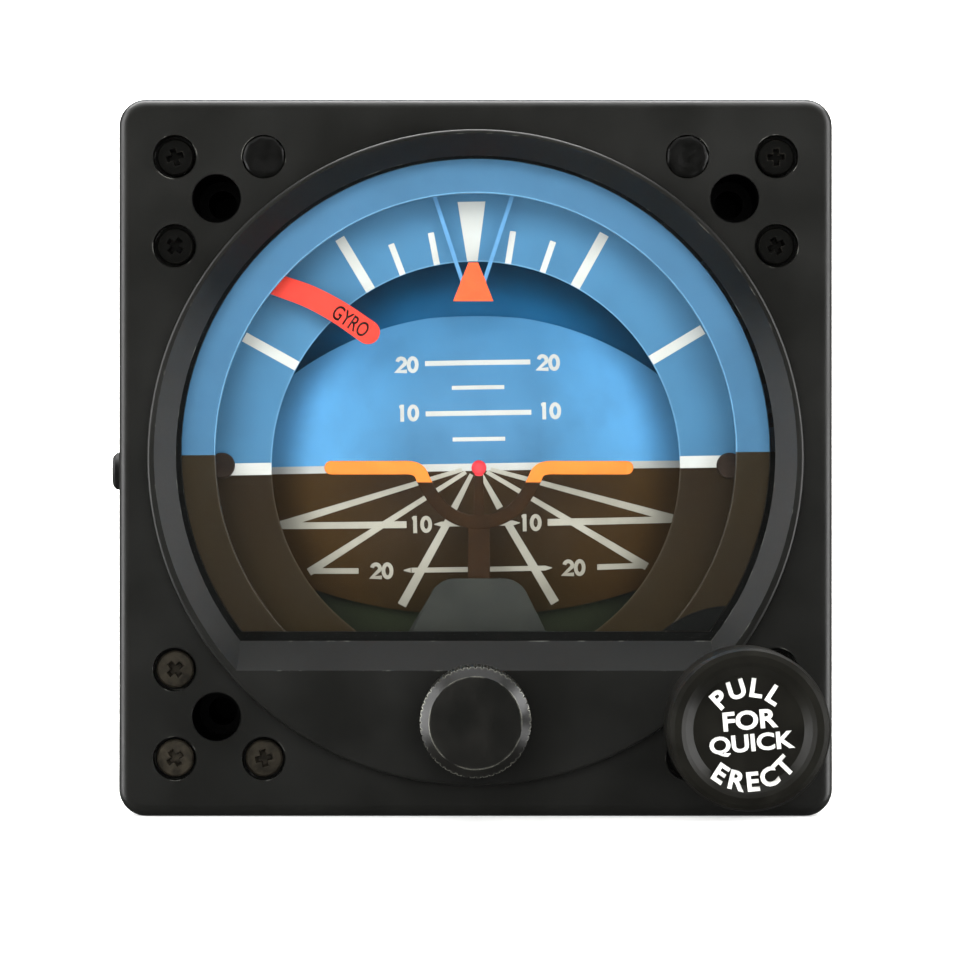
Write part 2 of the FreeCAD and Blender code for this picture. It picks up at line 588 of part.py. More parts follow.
def make_connector():
    face = f"({CASE_BACK} + cover_thick)"
    at = ("0", "0", "connector_high")
    shell = turned("connector_shell", "y", [
        (face, "connector_radius - connector_wall"), (face, "connector_flange"),
        (f"{face} + connector_flange_thick", "connector_flange"),
        (f"{face} + connector_flange_thick", "connector_radius"),
        (f"{face} + connector_flange_thick + connector_long", "connector_radius"),
        (f"{face} + connector_flange_thick + connector_long", "connector_radius - connector_wall")], at)
    add_node(shell, "connector_shell")
    back = f"({face} + connector_flange_thick + connector_long - insert_short)"
    front = f"({CASE_BACK} - cover_spigot - insert_inside)"
    insert = turned("connector_insert", "y", ring(front, back, "0", "connector_radius - connector_wall"), at)
    add_node(insert, "connector_insert")
    pins = []
    for number in range(CONNECTOR_PIN_COUNT):
        turn = math.radians(360 * number / CONNECTOR_PIN_COUNT + 90)
        across = f"pin_ring * ({math.cos(turn):.6f})"
        up = f"connector_high + pin_ring * ({math.sin(turn):.6f})"
        pins.append(turned(f"connector_pin_{number}", "y", [
            (back, "0"), (back, "pin_radius"), (f"{back} + insert_short * 0.7", "pin_radius"),
            (f"{back} + insert_short * 0.8", "0")], (across, "0", up)))
    group("connector_pins", pins)


def make_partition():
    """Bearing housing: a partition plate with a long forward tube for the two roll bearings."""
    part = turned("bearing_housing", "y", [
        ("tube_start", "roll_race_outer"), ("tube_start", "tube_radius"), (PARTITION_BACK, "tube_radius"),
        (PARTITION_BACK, "roll_race_outer"), ("rear_bearing_front", "roll_race_outer"),
        ("rear_bearing_front", "roll_race_outer - tube_rib"),
        ("tube_start + roll_race_wide", "roll_race_outer - tube_rib"),
        ("tube_start + roll_race_wide", "roll_race_outer")], ROLL)
    plate = sketch(part, "front", "partition_front")
    circle(plate, "0", "axis_drop", f"{CASE_BORE} - seat_gap")
    circle(plate, "0", "0", "(tube_radius + roll_race_outer) / 2")
    pad(part, plate, "partition_thick")
    add_node(part, "bearing_housing")


def make_electronics():
    """Static inverter board on four pillars, and the brush block beside the slip rings."""
    board_front = f"({PARTITION_BACK} + standoff_long)"
    pillars = []
    for across in ("-(board_half - standoff_inset)", "(board_half - standoff_inset)"):
        for up in ("(board_low + standoff_inset)", "(board_high - standoff_inset)"):
            pillars.append(turned(f"pillar_{len(pillars)}", "y",
                                  ring(PARTITION_BACK, board_front, "0", "standoff_radius"), (across, "0", up)))
    group("board_pillars", pillars)
    board = new_body("board_plate")
    outline = sketch(board, "front", board_front)
    rectangle(outline, "-board_half", "board_low", "board_half", "board_high")
    pad(board, outline, "board_thick")
    face = f"({board_front} + board_thick)"
    parts = []
    for number in (-1, 1):
        at = (f"{number} * (board_half - standoff_inset) * 0.6", "0", "(board_low + board_high) / 2")
        parts.append(turned(f"capacitor_{number + 1}", "y",
                            ring(face, f"{face} + capacitor_tall", "0", "capacitor_radius"), at))
    block = new_body("transformer", ("0", "0", "(board_low + board_high) / 2"))
    outline = sketch(block, "front", face)
    rectangle(outline, "-transformer_side / 2", "-transformer_side / 2",
              "transformer_side / 2", "transformer_side / 2")
    pad(block, outline, "transformer_tall")
    group("inverter_board", [board] + parts + [block])

    holder = new_body("brush_holder")
    outline = sketch(holder, "front", PARTITION_BACK)
    rectangle(outline, "-block_far", "-axis_drop - block_half", "-block_near", "-axis_drop + block_half")
    pad(holder, outline, "slip_start - " + PARTITION_BACK + f" + slip_ring_pitch * {SLIP_RING_COUNT}")
    brushes = []
    for number in range(SLIP_RING_COUNT):
        depth = f"slip_start + slip_ring_wide / 2 + slip_ring_pitch * {number}"
        brushes.append(turned(f"brush_{number}", "x", ring(
            "-block_near", "-brush_gap", "0", "brush_radius"),
            ("0", depth, "-axis_drop + slip_ring_radius + brush_gap")))
        arm = brushes[-1]
        spin(arm, "x", ring("-block_near - 0.5", "-block_near", "0", "brush_radius"))
    group("brush_block", [holder] + brushes)


# ---------------------------------------------------------------- roll gimbal

ROLL = ("0", "0", "-axis_drop")


def make_roll_card():
    """Roll card: a painted ring whose skirt turns back towards the drum."""
    card = turned("roll_card", "y", [
        ("card_front", "card_hole_radius"), ("card_front", CARD_RADIUS), (CARD_BACK, CARD_RADIUS),
        (CARD_BACK, "card_hole_radius + skirt_wall + 0.2"),
        (f"{CARD_BACK} + skirt_deep", "card_hole_radius + skirt_flare + skirt_wall"),
        (f"{CARD_BACK} + skirt_deep", "card_hole_radius + skirt_flare"),
        (CARD_BACK, "card_hole_radius + 0.2")], ROLL)
    holes = sketch(card, "front", "card_front")
    for sign in ("", "-"):
        circle(holes, sign + "card_screw_out", "0", "card_screw_radius * 0.6")
    pocket(card, holes, "card_thick")
    add_node(card, "roll_card")

    screws = []
    for number, sign in enumerate(("", "-")):
        front = "(card_front - card_screw_tall)"
        screw = turned(f"card_screw_{number}", "y", [
            (front, "0"), (front, "card_screw_radius - 0.15"), (f"{front} + 0.15", "card_screw_radius"),
            ("card_front", "card_screw_radius"), ("card_front", "card_screw_radius * 0.6"),
            (f"{CARD_BACK} + tab_thick - 0.4", "card_screw_radius * 0.6"),
            (f"{CARD_BACK} + tab_thick - 0.4", "0")], (sign + "card_screw_out", "0", "-axis_drop"))
        kerf = sketch(screw, "front", front)
        rectangle(kerf, "-card_screw_radius", "-slot_wide / 2", "card_screw_radius", "slot_wide / 2")
        pocket(screw, kerf, "slot_deep")
        screws.append(screw)
    group("roll_card_screws", screws)


def make_roll_gimbal():
    """U-shaped roll gimbal: two long arms, front tabs for the card and a rear bridge."""
    part = new_body("roll_gimbal", ROLL)
    outline = sketch(part, "top")
    outer = "(arm_inner + arm_thick)"
    tab = "(arm_inner - tab_reach)"
    tab_back = f"({CARD_BACK} + tab_thick)"
    half = [(tab, CARD_BACK), (outer, CARD_BACK), (outer, BRIDGE_BACK)]
    back = [("arm_inner", "bridge_front"), ("arm_inner", tab_back), (tab, tab_back)]
    mirrored = [("-" + across, up) for across, up in half]
    mirrored_back = [("-" + across, up) for across, up in back]
    polygon(outline, half + mirrored[::-1] + mirrored_back[::-1] + back)
    pad(part, outline, "arm_high", middle=True)
    hub = sketch(part, "front", "bridge_front")
    circle(hub, "0", "0", "bridge_hub_radius")
    pad(part, hub, "bridge_thick")
    bore = sketch(part, "front", "bridge_front")
    circle(bore, "0", "0", "shaft_radius")
    pocket(part, bore, "bridge_thick")
    pivots = sketch(part, "side")
    circle(pivots, "pitch_depth", "0", "pitch_race_outer")
    pocket(part, pivots, "2 * arm_inner + 2 * arm_thick", middle=True)
    screws = sketch(part, "front", CARD_BACK)
    for sign in ("", "-"):
        circle(screws, sign + "card_screw_out", "0", "card_screw_radius * 0.6")
    pocket(part, screws, "tab_thick")
    add_node(part, "roll_gimbal")


def make_roll_shaft():
    end = f"(slip_start + slip_ring_pitch * {SLIP_RING_COUNT} + shaft_tail)"
    shaft = turned("roll_shaft", "y", [
        ("bridge_front", "0"), ("bridge_front", "shaft_radius"), (BRIDGE_BACK, "shaft_radius"),
        (BRIDGE_BACK, "shaft_flange_radius"), (f"{BRIDGE_BACK} + shaft_flange_thick", "shaft_flange_radius"),
        (f"{BRIDGE_BACK} + shaft_flange_thick", "shaft_radius"), (end, "shaft_radius"), (end, "0")], ROLL)
    add_node(shaft, "roll_shaft")
    nut_front = "(rear_bearing_front + roll_race_wide)"
    nut = turned("shaft_nut", "y", ring(nut_front, f"{nut_front} + nut_thick", "shaft_radius", "nut_radius"), ROLL)
    add_node(nut, "shaft_nut")
    cam = turned("cage_cam", "y", ring(BRIDGE_BACK, f"{BRIDGE_BACK} + cam_tall", "cam_inner", "cam_outer"), ROLL)
    slope = sketch(cam, "side")
    polygon(slope, [(f"{BRIDGE_BACK} + cam_low", "-cam_outer - 1"),
                    (f"{BRIDGE_BACK} + cam_tall + 1", "-cam_outer - 1"),
                    (f"{BRIDGE_BACK} + cam_tall + 1", "cam_outer"), (f"{BRIDGE_BACK} + cam_tall", "cam_outer")])
    pocket(cam, slope, "2 * cam_outer + 2", middle=True)
    add_node(cam, "cage_cam")


def make_slip_rings():
    sleeve = turned("slip_ring_sleeve", "y", ring(
        "slip_start - slip_ring_wide", f"slip_start + slip_ring_pitch * {SLIP_RING_COUNT}",
        "shaft_radius", "slip_sleeve_radius"), ROLL)
    rings = []
    for number in range(SLIP_RING_COUNT):
        start = f"(slip_start + slip_ring_pitch * {number})"
        rings.append(turned(f"slip_ring_{number}", "y", ring(
            start, f"{start} + slip_ring_wide", "slip_sleeve_radius", "slip_ring_radius"), ROLL))
    group("slip_rings", [sleeve] + rings)


def make_roll_bearings():
    outer = []
    inner = []
    balls = []
    track = "(shaft_radius + roll_race_outer) / 2"
    space = "(roll_race_outer - shaft_radius - 2 * race_wall)"
    for number, start in enumerate(("tube_start", "rear_bearing_front")):
        end = f"{start} + roll_race_wide"
        outer.append(turned(f"roll_outer_race_{number}", "y", ring(
            start, end, "roll_race_outer - race_wall", "roll_race_outer"), ROLL))
        inner.append(turned(f"roll_inner_race_{number}", "y", ring(
            start, end, "shaft_radius", "shaft_radius + race_wall"), ROLL))
        for place in range(ROLL_BALL_COUNT):
            turn = math.radians(360 * place / ROLL_BALL_COUNT)
            balls.append(ball(f"roll_ball_{number}_{place}", f"({space} / 2 - running_gap)", (
                f"{track} * ({math.cos(turn):.6f})", f"{start} + roll_race_wide / 2",
                f"-axis_drop + {track} * ({math.sin(turn):.6f})")))
    group("roll_bearing_outer_races", outer)
    group("roll_bearing_inner_races", inner)
    group("roll_bearing_balls", balls)


# ---------------------------------------------------------------- pitch gimbal, drum and rotor

PITCH = ("0", "pitch_depth", "-axis_drop")


def make_drum():
    """Pitch drum: a ball-shaped shell segment on two webs, with a stepped skirt behind it and two hubs."""
    part = new_body("pitch_drum", PITCH)
    drawing = sketch(part, "top")
    outer, wall = size("drum_radius"), size("drum_wall")
    half, web, hub = size("drum_half"), size("drum_web"), size("trunnion_radius + drum_seat")
    inner = outer - wall
    low_out = -math.sqrt(outer ** 2 - half ** 2)
    low_in = -math.sqrt(inner ** 2 - (half - web) ** 2)
    middle = FreeCAD.Vector(0, 0, 0)
    up = FreeCAD.Vector(0, 0, 1)

    def arc(radius, across, down):
        turn = math.atan2(-down, across)
        return Part.ArcOfCircle(Part.Circle(middle, up, radius), math.pi + turn, 2 * math.pi - turn)

    def line(start, end):
        return Part.LineSegment(FreeCAD.Vector(*start, 0), FreeCAD.Vector(*end, 0))

    drawing.addGeometry([
        arc(outer, half, low_out), line((half, low_out), (half, -hub)), line((half, -hub), (half - web, -hub)),
        line((half - web, -hub), (half - web, low_in)), arc(inner, half - web, low_in),
        line((web - half, low_in), (web - half, -hub)), line((web - half, -hub), (-half, -hub)),
        line((-half, -hub), (-half, low_out))], False)
    for first, end, second, start in ((0, 2, 1, 1), (1, 2, 2, 1), (2, 2, 3, 1), (3, 2, 4, 2),
                                      (4, 1, 5, 1), (5, 2, 6, 1), (6, 2, 7, 1), (7, 2, 0, 1)):
        drawing.addConstraint(Sketcher.Constraint("Coincident", first, end, second, start))
    for edge, radius in ((0, "drum_radius"), (4, "drum_radius - drum_wall")):
        drawing.addConstraint(Sketcher.Constraint("Coincident", edge, 3, -1, 1))
        number = drawing.addConstraint(Sketcher.Constraint("Radius", edge, size(radius)))
        bind(drawing, f"Constraints[{number}]", radius)
    for edge in (1, 3, 5, 7):
        drawing.addConstraint(Sketcher.Constraint("Vertical", edge))
    pin_point(drawing, 2, 1, "drum_half", "-(trunnion_radius + drum_seat)")
    pin_point(drawing, 2, 2, "drum_half - drum_web", "-(trunnion_radius + drum_seat)")
    pin_point(drawing, 6, 1, "-(drum_half - drum_web)", "-(trunnion_radius + drum_seat)")
    pin_point(drawing, 6, 2, "-drum_half", "-(trunnion_radius + drum_seat)")
    shell = part.newObject("PartDesign::Revolution", "drum_shell")
    shell.Profile = drawing
    shell.ReferenceAxis = (drawing, ["H_Axis"])
    bind(shell, "Angle", "drum_span")
    shell.Midplane = True

    above = sketch(part, "front", "-drum_radius - crown_clear")
    crown, sweep = size("drum_crown"), size("drum_crown_round")
    edge = size("drum_half + crown_clear")
    drop = crown - sweep + math.sqrt(sweep ** 2 - edge ** 2)
    high = outer
    rise = math.atan2(drop - crown + sweep, edge)
    above.addGeometry([
        Part.ArcOfCircle(Part.Circle(FreeCAD.Vector(0, crown - sweep, 0), up, sweep), rise, math.pi - rise),
        line((-edge, drop), (-edge, high)), line((-edge, high), (edge, high)), line((edge, high), (edge, drop))],
        False)
    for first, end, second, start in ((0, 2, 1, 1), (1, 2, 2, 1), (2, 2, 3, 1), (3, 2, 0, 1)):
        above.addConstraint(Sketcher.Constraint("Coincident", first, end, second, start))
    number = above.addConstraint(Sketcher.Constraint("Radius", 0, sweep))
    bind(above, f"Constraints[{number}]", "drum_crown_round")
    pin_point(above, 0, 3, "0", "drum_crown - drum_crown_round")
    pin_point(above, 1, 2, "-(drum_half + crown_clear)", "drum_radius")
    pin_point(above, 2, 2, "drum_half + crown_clear", "drum_radius")
    for side in (1, 3):
        above.addConstraint(Sketcher.Constraint("Vertical", side))
    pocket(part, above, "drum_radius / 2")

    skirt = sketch(part, "top")
    outer, half = outer - size("drum_step"), half - web
    inner = outer - wall
    low_out, low_in = -math.sqrt(outer ** 2 - half ** 2), -math.sqrt(inner ** 2 - half ** 2)
    skirt.addGeometry([arc(outer, half, low_out), line((half, low_out), (half, low_in)),
                       arc(inner, half, low_in), line((-half, low_in), (-half, low_out))], False)
    for first, end, second, start in ((0, 2, 1, 1), (1, 2, 2, 2), (2, 1, 3, 1), (3, 2, 0, 1)):
        skirt.addConstraint(Sketcher.Constraint("Coincident", first, end, second, start))
    for edge, radius in ((0, "drum_radius - drum_step"), (2, "drum_radius - drum_step - drum_wall")):
        skirt.addConstraint(Sketcher.Constraint("Coincident", edge, 3, -1, 1))
        number = skirt.addConstraint(Sketcher.Constraint("Radius", edge, size(radius)))
        bind(skirt, f"Constraints[{number}]", radius)
    for edge, ends in ((1, (-1, 1, 1, 1)), (3, (3, 1, -1, 1))):
        skirt.addConstraint(Sketcher.Constraint("Vertical", edge))
        number = skirt.addConstraint(Sketcher.Constraint("DistanceX", *ends, half))
        bind(skirt, f"Constraints[{number}]", "drum_half - drum_web")
    shade = part.newObject("PartDesign::Revolution", "drum_skirt")
    shade.Profile = skirt
    shade.ReferenceAxis = (skirt, ["H_Axis"])
    bind(shade, "Angle", "skirt_span")
    shade.Midplane = True
    for sign in ("", "-"):
        spin(part, "x", ring(f"{sign}(drum_half - drum_web)", f"{sign}drum_half",
                             "trunnion_radius", "drum_hub_radius"))
    add_node(part, "pitch_drum")


def make_inner_gimbal():
    """Ring round the rotor case with its two trunnions."""
    part = new_body("inner_gimbal", PITCH)
    for sign in ("", "-"):
        side = [(f"{sign}(ring_inner + 0.5)", "0"), (f"{sign}(ring_inner + 0.5)", "trunnion_radius"),
                (f"{sign}drum_half", "trunnion_radius"), (f"{sign}drum_half", "pivot_radius"),
                (f"{sign}pivot_reach", "pivot_radius"), (f"{sign}pivot_reach", "0")]
        if sign == "":
            spin(part, "z", ring("-ring_high / 2", "ring_high / 2", "ring_inner", "ring_outer"))
        spin(part, "x", side)
    add_node(part, "inner_gimbal")
    outer = []
    inner = []
    for number, sign in enumerate(("", "-")):
        start = f"{sign}(arm_inner + pitch_race_in)"
        end = f"{sign}(arm_inner + pitch_race_in + pitch_race_wide)"
        middle = "(pitch_race_outer + pivot_radius) / 2"
        outer.append(turned(f"pitch_outer_race_{number}", "x", ring(
            start, end, f"{middle} + race_gap / 2", "pitch_race_outer"), PITCH))
        inner.append(turned(f"pitch_inner_race_{number}", "x", ring(
            start, end, "pivot_radius", f"{middle} - race_gap / 2"), PITCH))
    group("pitch_bearing_outer_races", outer)
    group("pitch_bearing_inner_races", inner)


def make_rotor_case():
    """Two cups that close on the inner gimbal ring, each with a boss for a rotor bearing."""
    for label, sign in (("rotor_case_top", ""), ("rotor_case_bottom", "-")):
        inside = f"{sign}(shell_high - shell_wall)"
        boss = f"{sign}(shell_high - shell_wall - bearing_boss_deep)"
        cup = turned(label, "z", [
            (boss, "rotor_race_outer"), (f"{sign}shell_high", "rotor_race_outer"),
            (f"{sign}shell_high", "shell_radius"), (f"{sign}(ring_high / 2 + shell_flange_thick)", "shell_radius"),
            (f"{sign}(ring_high / 2 + shell_flange_thick)", "ring_outer"),
            (f"{sign}ring_high / 2", "ring_outer"), (f"{sign}ring_high / 2", "shell_radius"),
            (f"{sign}seat_gap", "shell_radius"), (f"{sign}seat_gap", "shell_radius - shell_wall"),
            (inside, "shell_radius - shell_wall"), (inside, "rotor_race_outer + bearing_boss_wall"),
            (boss, "rotor_race_outer + bearing_boss_wall")], PITCH)
        add_node(cup, label)


def make_rotor():
    rim_in = "(rotor_radius - rotor_rim)"
    top = "(rotor_high / 2)"
    rotor = turned("gyro_rotor", "z", [
        ("-rotor_high / 2", rim_in), ("-rotor_high / 2", "rotor_radius"), (top, "rotor_radius"),
        (top, "rotor_shaft_radius"), (f"{top} - rotor_web", "rotor_shaft_radius"),
        (f"{top} - rotor_web", rim_in)], PITCH)
    add_node(rotor, "gyro_rotor")
    reach = "(shell_high - shell_wall)"
    shaft = turned("rotor_shaft", "z", ring("-" + reach, reach, "0", "rotor_shaft_radius"), PITCH)
    add_node(shaft, "rotor_shaft")
    outer = []
    inner = []
    middle = "(rotor_race_outer + rotor_shaft_radius) / 2"
    for number, sign in enumerate(("", "-")):
        start = f"{sign}(shell_high - shell_wall - rotor_race_high)"
        end = f"{sign}(shell_high - shell_wall)"
        outer.append(turned(f"rotor_outer_race_{number}", "z", ring(
            start, end, f"{middle} + race_gap / 2", "rotor_race_outer"), PITCH))
        inner.append(turned(f"rotor_inner_race_{number}", "z", ring(
            start, end, "rotor_shaft_radius", f"{middle} - race_gap / 2"), PITCH))
    group("rotor_bearing_outer_races", outer)
    group("rotor_bearing_inner_races", inner)

    low = "(-rotor_high / 2)"
    floor = "-(shell_high - shell_wall)"
    stator = turned("motor_stator", "z", [
        (low, "stator_bore"), (f"{low} + stator_high", "stator_bore"), (f"{low} + stator_high", "stator_radius"),
        (low, "stator_radius"), (low, "post_inner + post_wall"), (floor, "post_inner + post_wall"),
        (floor, "post_inner"), (low, "post_inner")], PITCH)
    add_node(stator, "motor_stator")


def make_erector():
    """Ball erector under the rotor case: a shallow cup, its lid and loose balls."""
    top = "-shell_high"
    floor = "(-shell_high - erector_deep)"
    cup = turned("erector_cup", "z", [
        (top, "rotor_race_outer"), (top, "erector_radius"), (floor, "erector_radius"),
        (floor, "erector_radius - erector_wall"), (f"{top} - erector_wall", "erector_radius - erector_wall"),
        (f"{top} - erector_wall", "rotor_race_outer")], PITCH)
    add_node(cup, "erector_cup")
    lid = turned("erector_lid", "z", ring(f"{floor} - erector_wall", floor, "0", "erector_radius"), PITCH)
    add_node(lid, "erector_lid")
    balls = []
    for number in range(ERECTOR_BALL_COUNT):
        turn = math.radians(360 * number / ERECTOR_BALL_COUNT)
        balls.append(ball(f"erector_ball_{number}", "erector_ball", (
            f"erector_radius * 0.6 * ({math.cos(turn):.6f})",
            f"pitch_depth + erector_radius * 0.6 * ({math.sin(turn):.6f})",
            "-axis_drop - shell_high - erector_deep + erector_ball + running_gap")))
    group("erector_balls", balls)


# ---------------------------------------------------------------- aeroplane symbol

SYMBOL = ("symbol_side", "0", "-symbol_drop")


def make_symbol():
    """Aeroplane symbol cut from sheet: two wings, a loop below them, a dot and a stem."""
    part = new_body("aeroplane_symbol", SYMBOL)
    drawing = sketch(part, "front", SYMBOL_FRONT)
    circle(drawing, "0", "0", "loop_outer")
    circle(drawing, "0", "0", "loop_outer - loop_wide")
    pad(part, drawing, "symbol_thick")
    upper = sketch(part, "front", SYMBOL_FRONT)
    rectangle(upper, "-loop_outer - 1", "0", "loop_outer + 1", "loop_outer + 1")
    pocket(part, upper, "symbol_thick")
    for sign in ("", "-"):
        wing = sketch(part, "front", SYMBOL_FRONT)
        rectangle(wing, f"{sign}(loop_outer - loop_wide)", "-wing_high / 2",
                  f"{sign}(wing_half - wing_high / 2)", "wing_high / 2")
        pad(part, wing, "symbol_thick")
        tip = sketch(part, "front", SYMBOL_FRONT)
        circle(tip, f"{sign}(wing_half - wing_high / 2)", "0", "wing_high / 2")
        pad(part, tip, "symbol_thick")
    post = sketch(part, "front", SYMBOL_FRONT)
    rectangle(post, "-post_wide / 2", "-loop_outer + loop_wide / 2", "post_wide / 2", "0")
    pad(part, post, "symbol_thick")
    dot = sketch(part, "front", SYMBOL_FRONT)
    circle(dot, "0", "0", "dot_radius")
    pad(part, dot, "symbol_thick")
    stem = sketch(part, "front", SYMBOL_FRONT)
    rectangle(stem, "-stem_wide / 2", "symbol_drop - stem_foot", "stem_wide / 2", "-loop_outer + loop_wide / 2")
    pad(part, stem, "symbol_thick")
    add_node(part, "aeroplane_symbol")


def rack_teeth():
    """Outline points of the rack's teeth, from the lowest up, about the gear's centre height."""
    pitch = f"(gear_pitch_radius * {2 * math.pi / GEAR_TOOTH_COUNT:.6f})"
    lean = f"{math.tan(PRESSURE_ANGLE):.6f}"
    root = "(gear_pitch_radius + gear_root)"
    tip = "(gear_pitch_radius - rack_addendum)"
    at_root = f"({pitch} / 4 - tooth_play / 2 + gear_root * {lean})"
    at_tip = f"({pitch} / 4 - tooth_play / 2 - rack_addendum * {lean})"
    points = []
    for number in (-1.5, -0.5, 0.5, 1.5, 2.5):
        middle = f"(-knob_drop + {number} * {pitch})"
        points += [(root, f"{middle} - {at_root}"), (tip, f"{middle} - {at_tip}"),
                   (tip, f"{middle} + {at_tip}"), (root, f"{middle} + {at_root}")]
    return points


def make_carrier():
    """Sliding carrier behind the chin: a fork with a rack on one leg."""
    part = new_body("symbol_carrier")
    drawing = sketch(part, "front", CARRIER_FRONT)
    root = "(gear_pitch_radius + gear_root)"
    right = [("leg_half", "-leg_low"), ("leg_half", "-leg_top"), ("carrier_wide_half", "-carrier_wide_low"),
             ("carrier_top_half", "-carrier_top")]
    left = [("-" + across, up) for across, up in right]
    polygon(drawing, [(root, "-leg_low")] + right + left[::-1] + [
        ("-fork_side", "-leg_low"), ("-fork_side", "-fork_top"), (root, "-fork_top")] + rack_teeth()[::-1])
    pad(part, drawing, "carrier_thick")
    add_node(part, "symbol_carrier")

    guide = new_body("symbol_guide")
    plate = sketch(guide, "front", f"{CARRIER_BACK} + guide_gap")
    reach = "(leg_half + guide_gap + guide_wall)"
    top = "(-leg_low + guide_high)"
    rectangle(plate, "-" + reach, "-leg_low - 1", reach, top)
    pad(guide, plate, "guide_plate")
    for sign in ("", "-"):
        rail = sketch(guide, "front", MASK_BACK)
        rectangle(rail, f"{sign}(leg_half + guide_gap)", "-leg_low - 1", f"{sign}{reach}", top)
        pad(guide, rail, f"{CARRIER_BACK} + guide_gap - {MASK_BACK}")
    add_node(guide, "symbol_guide")


def make_adjust_knob():
    """Knurled knob, shaft in a bushing through the chin, and the gear that lifts the carrier."""
    at = ("0", "0", "-knob_drop")
    knob = new_body("adjust_knob", at)
    back = "(-boss_rise - knob_gap)"
    spin(knob, "y", [("-knob_front", "0"), ("-knob_front", "knob_radius - knob_chamfer"),
                     ("-knob_front + knob_chamfer", "knob_radius"), (back, "knob_radius"),
                     (back, "adjust_shaft_radius"), ("-knob_front + 2 * knob_chamfer", "adjust_shaft_radius"),
                     ("-knob_front + 2 * knob_chamfer", "0")])
    groove = sketch(knob, "front", "-knob_front")
    polygon(groove, [("0", "knob_radius - knurl_deep"), ("knurl_deep", "knob_radius + knurl_deep / 2"),
                     ("-knurl_deep", "knob_radius + knurl_deep / 2")])
    flute = pocket(knob, groove, "knob_front")
    knurl = knob.newObject("PartDesign::PolarPattern", "knurl")
    knurl.Originals = [flute]
    knurl.Axis = (groove, ["N_Axis"])
    knurl.Angle = 360
    knurl.Occurrences = KNURL_COUNT
    knob.Tip = knurl
    add_node(knob, "adjust_knob")
    shaft = turned("adjust_shaft", "y", [
        ("-knob_front + 2 * knob_chamfer", "0"), ("-knob_front + 2 * knob_chamfer", "adjust_shaft_radius"),
        (CARRIER_FRONT, "adjust_shaft_radius"), (CARRIER_FRONT, "adjust_shaft_radius - 0.45"),
        (CARRIER_BACK, "adjust_shaft_radius - 0.45"), (CARRIER_BACK, "0")], at)
    add_node(shaft, "adjust_shaft")
    bushing = turned("adjust_bushing", "y", ring(
        "-boss_rise", MASK_FRONT, "adjust_shaft_radius + running_gap",
        "adjust_shaft_radius + running_gap + bushing_wall"), at)
    add_node(bushing, "adjust_bushing")
    add_node(make_gear(), "adjust_gear")


def make_gear():
    """Involute gear cut from plate, as wide as the carrier, with one tooth towards +X."""
    pitch = size("gear_pitch_radius")
    base = pitch * math.cos(PRESSURE_ANGLE)
    tip = pitch + size("gear_addendum")
    root = pitch - size("gear_root")

    def spread(radius):
        turn = math.acos(min(1, base / radius))
        return math.tan(turn) - turn

    half = math.pi / (2 * GEAR_TOOTH_COUNT) - size("tooth_play") / (2 * pitch)
    flank = [(root, half + spread(pitch))]
    for part in (0, 0.25, 0.5, 0.75, 1):
        radius = base + (tip - base) * part
        flank.append((radius, half + spread(pitch) - spread(radius)))
    corners = []
    for tooth in range(GEAR_TOOTH_COUNT):
        middle = 2 * math.pi * tooth / GEAR_TOOTH_COUNT
        sides = [(radius, middle - turn) for radius, turn in flank]
        sides += [(radius, middle + turn) for radius, turn in reversed(flank)]
        corners += [FreeCAD.Vector(radius * math.cos(turn), 0, radius * math.sin(turn))
                    for radius, turn in sides]
    face = Part.Face(Part.Wire([Part.makePolygon(corners + corners[:1])]))
    thick = size("carrier_thick")
    blank = face.extrude(FreeCAD.Vector(0, thick, 0))
    bore = Part.makeCylinder(size("adjust_shaft_radius - 0.45"), thick, FreeCAD.Vector(0, 0, 0),
                             FreeCAD.Vector(0, 1, 0))
    gear = doc.addObject("Part::Feature", "adjust_gear")
    gear.Shape = blank.cut(bore)
    put(gear, ("0", CARRIER_FRONT, "-knob_drop"))
    return gear


# ---------------------------------------------------------------- caging control

PULL = (BOLT, "0", "-" + BOLT)


def yoke_arm(drawing, margin, start):
    """Outline of the slanted arm from near the roll axis to the pull rod, wider by a margin."""
    half = f"((yoke_arm_wide / 2 + {margin}) * 0.7071)"
    near = f"(({start}) * 0.7071)"
    polygon(drawing, [(f"{near} + {half}", f"-axis_drop - {near} + {half}"),
                      (f"{BOLT} + {half}", f"-{BOLT} + {half}"),
                      (f"{BOLT} - {half}", f"-{BOLT} - {half}"),
                      (f"{near} - {half}", f"-axis_drop - {near} - {half}")])


